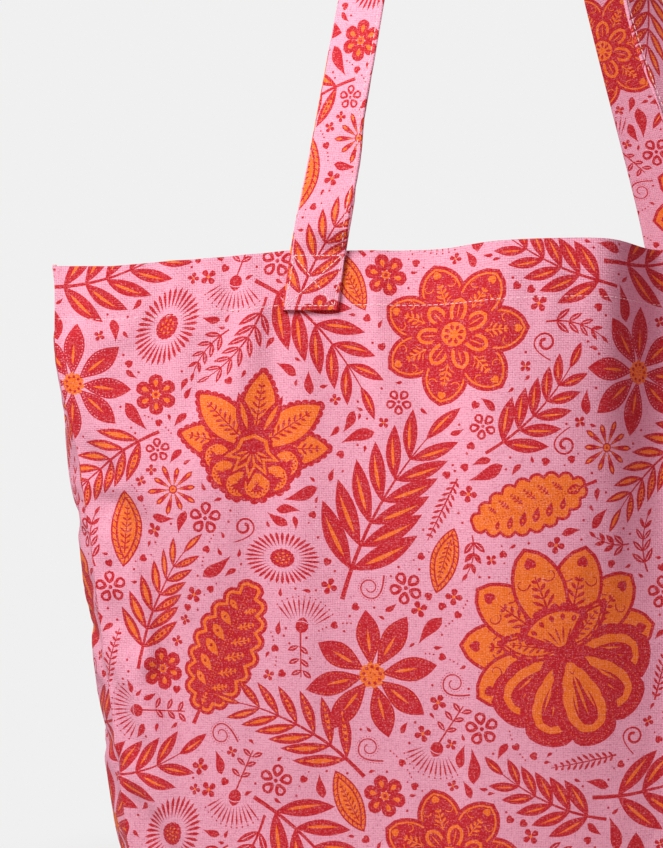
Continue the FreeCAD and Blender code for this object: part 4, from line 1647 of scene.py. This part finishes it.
def strap_surface(side):
    """The band's skin, from the distance round its section and along it; and its length."""
    stations, edge, wide, outward, thickness = strap_rail(side)
    total = stations[-1]

    def surface(c, along):
        c = np.mod(np.asarray(c, float), BAND_RING)
        along = np.asarray(along, float)
        start = sample(along, stations, edge)
        w = unit(sample(along, stations, wide))
        t = unit(sample(along, stations, outward))
        thick = np.interp(along, stations, thickness)
        # past the ends, for normals
        over = np.where(along < 0, along, np.where(along > total, along - total, 0.0))
        a, h, r = BAND_FLAT, BAND_ROUND, BAND_T / 2
        turn1 = (c - a) / r
        turn2 = (c - 2 * a - h) / r
        pieces = [c < a, c < a + h, c < 2 * a + h]
        u = np.select(pieces, [r + c, BAND_W - r + r * np.sin(turn1), BAND_W - r - (c - a - h)],
                      r - r * np.sin(turn2))
        v = np.select(pieces, [1.0, 0.5 + 0.5 * np.cos(turn1), 0.0], 0.5 - 0.5 * np.cos(turn2))
        # thicker in the middle, with a groove under the stitching
        groove = 0.07 * np.exp(-((u - (BAND_W - 2.4)) / 0.9) ** 2)
        soft = 1.0 + 0.05 * np.sin(np.pi * u / BAND_W) - groove
        wave = 0.35 * np.sin(along * 0.045 + u * 0.08)
        free = END_H + 2, END_H + 40
        lift = v * thick * soft + wave * smooth(*free, along) * smooth(*free, total - along)
        p = start + w * u[..., None] + t * lift[..., None]
        ahead = sample(along + 1.0, stations, edge) - sample(along - 1.0, stations, edge)
        return p + unit(ahead) * over[..., None]

    return surface, float(total)


def strap(side):
    surface, length = strap_surface(side)
    a, h = BAND_FLAT, BAND_ROUND
    # lines along the band: round both edges, the middles, and beside the stitching
    columns = [a, a + h * 0.25, a + h * 0.5, a + h * 0.75, a + h, 2 * a + h, 2 * a + h * 1.25,
               2 * a + h * 1.5, 2 * a + h * 1.75, BAND_W / 2 - 1, a - 0.9, a - 1.9,
               a + h + BAND_W / 2]
    points, tris, ink, loop = cut_print(
        rectangle(0, BAND_RING, 0, length), np.array(STRAP_ORIGIN[side]), 6.0,
        [((c, 0), (c, length)) for c in columns])
    u, v = points[:, 0], points[:, 1]
    step = 0.25

    def facing(c, along, before, after):
        return unit(np.cross(surface(c + step, along) - surface(c - step, along),
                             surface(c, after) - surface(c, before)))

    normal = facing(u, v, np.maximum(v - 1, 0), np.minimum(v + 1, length))
    top = int(np.argmin((u - 14) ** 2 + (v - length / 2) ** 2))
    sign = 1.0 if normal[top][2] > 0 else -1.0
    faces = tris if sign > 0 else tris[:, ::-1]
    caps = []
    for end in (0.0, length):
        on = loop[np.abs(points[loop, 1] - end) < 1e-3]
        on = on[np.argsort(points[on, 0])][:-1]
        caps.append(on[::-1] if (end == 0.0) == (sign > 0) else on)
    loops = np.concatenate([faces.ravel(), *caps])
    split = len(faces) * 3
    loop_uv = points[loops]
    bake = loop_uv / np.array([BAND_RING, length]) * 0.96 + 0.01
    bake[split:] = np.array([0.985, 0.985]) + (loop_uv[split:] % 1.0) * 0.01
    loop_normals = (normal * sign)[loops]
    first = split
    for cap, inner, outer in zip(caps, (2.0, length - 2.0), (0.0, length)):
        inner, outer = (surface(np.array([5.0]), np.array([at]))[0] for at in (inner, outer))
        loop_normals[first:first + len(cap)] = unit(outer - inner)
        first += len(cap)
    ob = mesh(side + "_strap_band", surface(u, v), [faces, caps[0][None, :], caps[1][None, :]],
              [M_PRINT], ink=np.concatenate([ink, [2.0, 2.0]]), uv=points, bake_uv=bake,
              loop_normals=loop_normals)
    y = (FRONT_Y - 2.3 if side == "front" else -FRONT_Y + 2.3) * MM
    start, end = (0, y, (RIM_Z - 0.5) * MM), (0, y, (RIM_Z + 46.0) * MM)
    swing = side + "_strap"
    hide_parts(swing + "_loop", swing + "_left_end", swing + "_right_end")
    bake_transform(ob)

    def path(c, along, lift):
        up = facing(c, along, along - 1, along + 1) * sign
        return surface(c, along) + up * lift, up

    along = np.linspace(END_H + 1.5, length - END_H - 1.5, 260)
    run = path(np.full(len(along), a - 1.4), along, -0.03)
    ob = stitches(swing + "_topstitch", [run], M_THREAD, length=2.7, gap=0.6, width=0.6,
                  height=0.34)
    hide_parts(swing + "_edge_stitching")
    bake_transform(ob)

    # box and cross on each sewn end: corner, corner, points, lift
    lines = ((0, 1, 12, -0.03), (1, 2, 12, -0.03), (2, 3, 12, -0.03), (3, 0, 12, -0.03),
             (0, 2, 14, -0.03), (1, 3, 14, 0.0))
    for hand, low, high in (("left", 2.2, END_H - 2.6),
                            ("right", length - 2.2, length - END_H + 2.6)):
        corners = rectangle(1.2, a - 1.2, low, high)
        runs = []
        for i, j, count, lift in lines:
            (c0, along0), (c1, along1) = corners[i], corners[j]
            runs.append(path(np.linspace(c0, c1, count), np.linspace(along0, along1, count), lift))
        ob = stitches("%s_strap_%s_box_cross" % (side, hand), runs, M_THREAD, length=2.3,
                      gap=0.55, width=0.58, height=0.32)
        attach(ob, side)
        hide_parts("%s_strap_%s_box_stitching" % (side, hand))


strap("front")
strap("back")

# ---------------------------------------------------------------- backdrop and floor
BACKDROP = (0.8725, 0.8715, 0.8725)          # what the camera sees
GLOW = (0.97, 0.66, 0.75)                    # what lights the bag
GLOW_STRENGTH = 0.29


def studio_world():
    world = bpy.data.worlds.new("studio")
    scene.world = world
    world.use_nodes = True
    nodes, links = world.node_tree.nodes, world.node_tree.links
    background = nodes["Background"]
    rays = nodes.new("ShaderNodeLightPath")
    colour = nodes.new("ShaderNodeMix")
    colour.data_type = "RGBA"
    links.new(rays.outputs["Is Camera Ray"], colour.inputs[0])
    colour.inputs[6].default_value = (*GLOW, 1)
    colour.inputs[7].default_value = (*BACKDROP, 1)
    links.new(colour.outputs[2], background.inputs[0])
    strength = nodes.new("ShaderNodeMix")
    strength.data_type = "FLOAT"
    links.new(rays.outputs["Is Camera Ray"], strength.inputs[0])
    strength.inputs[2].default_value = GLOW_STRENGTH
    strength.inputs[3].default_value = 1.0
    matt = nodes.new("ShaderNodeMath")          # the backdrop gives the cloth little shine
    matt.operation = "MULTIPLY_ADD"
    links.new(rays.outputs["Is Glossy Ray"], matt.inputs[0])
    matt.inputs[1].default_value = -0.25
    links.new(strength.outputs[0], matt.inputs[2])
    links.new(matt.outputs[0], background.inputs[1])


def floor_material():
    k = Shader("studio_floor")
    position = k.add("ShaderNodeNewGeometry").outputs["Position"]
    distance = k.add("ShaderNodeVectorMath", operation="LENGTH")
    k.set(distance.inputs[0], k.scaled(position, 1.0, 1.5))
    k.inputs(k.bsdf, {"Base Color": (0.78, 0.825, 0.81, 1), "Roughness": 0.9,
                      "Specular IOR Level": 0.1})
    # away from the bag the floor is as bright as the backdrop
    fade = k.add("ShaderNodeEmission")
    seen = k.add("ShaderNodeLightPath").outputs["Is Camera Ray"]
    glow = tuple(value * GLOW_STRENGTH for value in GLOW)
    k.set(fade.inputs["Color"], k.mix(seen, glow, BACKDROP))
    blend = k.add("ShaderNodeMixShader")
    away = k.ramp(distance.outputs["Value"], start=0.18, end=0.52, high=0.997)
    k.set(blend.inputs[0], away)
    k.set(blend.inputs[1], k.bsdf.outputs[0])
    k.set(blend.inputs[2], fade.outputs[0])
    k.set(k.tree.nodes["Material Output"].inputs[0], blend.outputs[0])
    return k.mat


FLOOR_Z, FLOOR_RADIUS = -0.0006, 2.4          # metres
FLOOR_SEGMENTS, FLOOR_RINGS = 64, 10


def studio_floor():
    """A round floor that follows the crease of the base down as the bag is folded."""
    verts, faces = [(0.0, 0.0, FLOOR_Z)], []
    for ring in range(1, FLOOR_RINGS + 1):
        for i in range(FLOOR_SEGMENTS):
            turn = 2 * math.pi * i / FLOOR_SEGMENTS
            radius = FLOOR_RADIUS * (ring / FLOOR_RINGS) ** 1.3
            verts.append((radius * math.cos(turn), radius * math.sin(turn), FLOOR_Z))
    for i in range(FLOOR_SEGMENTS):
        faces.append((0, 1 + i, 1 + (i + 1) % FLOOR_SEGMENTS))
    for ring in range(FLOOR_RINGS - 1):
        for i in range(FLOOR_SEGMENTS):
            a = 1 + ring * FLOOR_SEGMENTS + i
            b = 1 + ring * FLOOR_SEGMENTS + (i + 1) % FLOOR_SEGMENTS
            faces.append((a, a + FLOOR_SEGMENTS, b + FLOOR_SEGMENTS, b))
    data = bpy.data.meshes.new("floor")
    data.from_pydata(verts, [], faces)
    floor = bpy.data.objects.new("floor", data)
    scene.collection.objects.link(floor)
    data.materials.append(floor_material())
    crease = bpy.data.objects.new("floor_height", None)
    scene.collection.objects.link(crease)
    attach(crease, "base_front")
    follow = floor.constraints.new("COPY_LOCATION")
    follow.target = crease
    follow.use_x = follow.use_y = False
    follow.use_offset = True


# ---------------------------------------------------------------- lights and camera
def area_light(name, location, target, size, power, colour=(1, 1, 1)):
    data = bpy.data.lights.new(name, "AREA")
    data.shape = "RECTANGLE"
    data.size = data.size_y = size
    data.energy = power
    data.color = colour
    ob = bpy.data.objects.new(name, data)
    scene.collection.objects.link(ob)
    ob.location = location
    ob.visible_camera = False
    ob.visible_glossy = name == "key"
    aim = Vector(target) - Vector(location)
    ob.rotation_euler = aim.to_track_quat("-Z", "Y").to_euler()


def camera():
    """Level camera in front of the bag, looking along +Y."""
    data = bpy.data.cameras.new("camera")
    ob = bpy.data.objects.new("camera", data)
    scene.collection.objects.link(ob)
    data.sensor_fit = "VERTICAL"
    data.sensor_height = 36.0
    data.sensor_width = 28.1462264
    data.lens = 65.2924528
    data.clip_start, data.clip_end = 0.01, 50
    ob.location = (-0.102, -0.885, 0.307)
    ob.rotation_euler = (math.radians(90), 0, 0)
    scene.camera = ob


scene.view_settings.view_transform = "Standard"
scene.view_settings.look = "None"
studio_world()
studio_floor()
area_light("key", location=(-0.64, -0.76, 1.0), target=(-0.16, 0, 0.42), size=0.5, power=15.8,
           colour=(1.0, 1.01, 0.995))
area_light("fill", location=(1.6, -1.2, 0.9), target=(0.0, 0, 0.25), size=1.6, power=4.4,
           colour=(1.0, 0.78, 0.85))
area_light("rim", location=(0.4, 1.6, 1.5), target=(0, 0, 0.3), size=1.2, power=13.0)
camera()
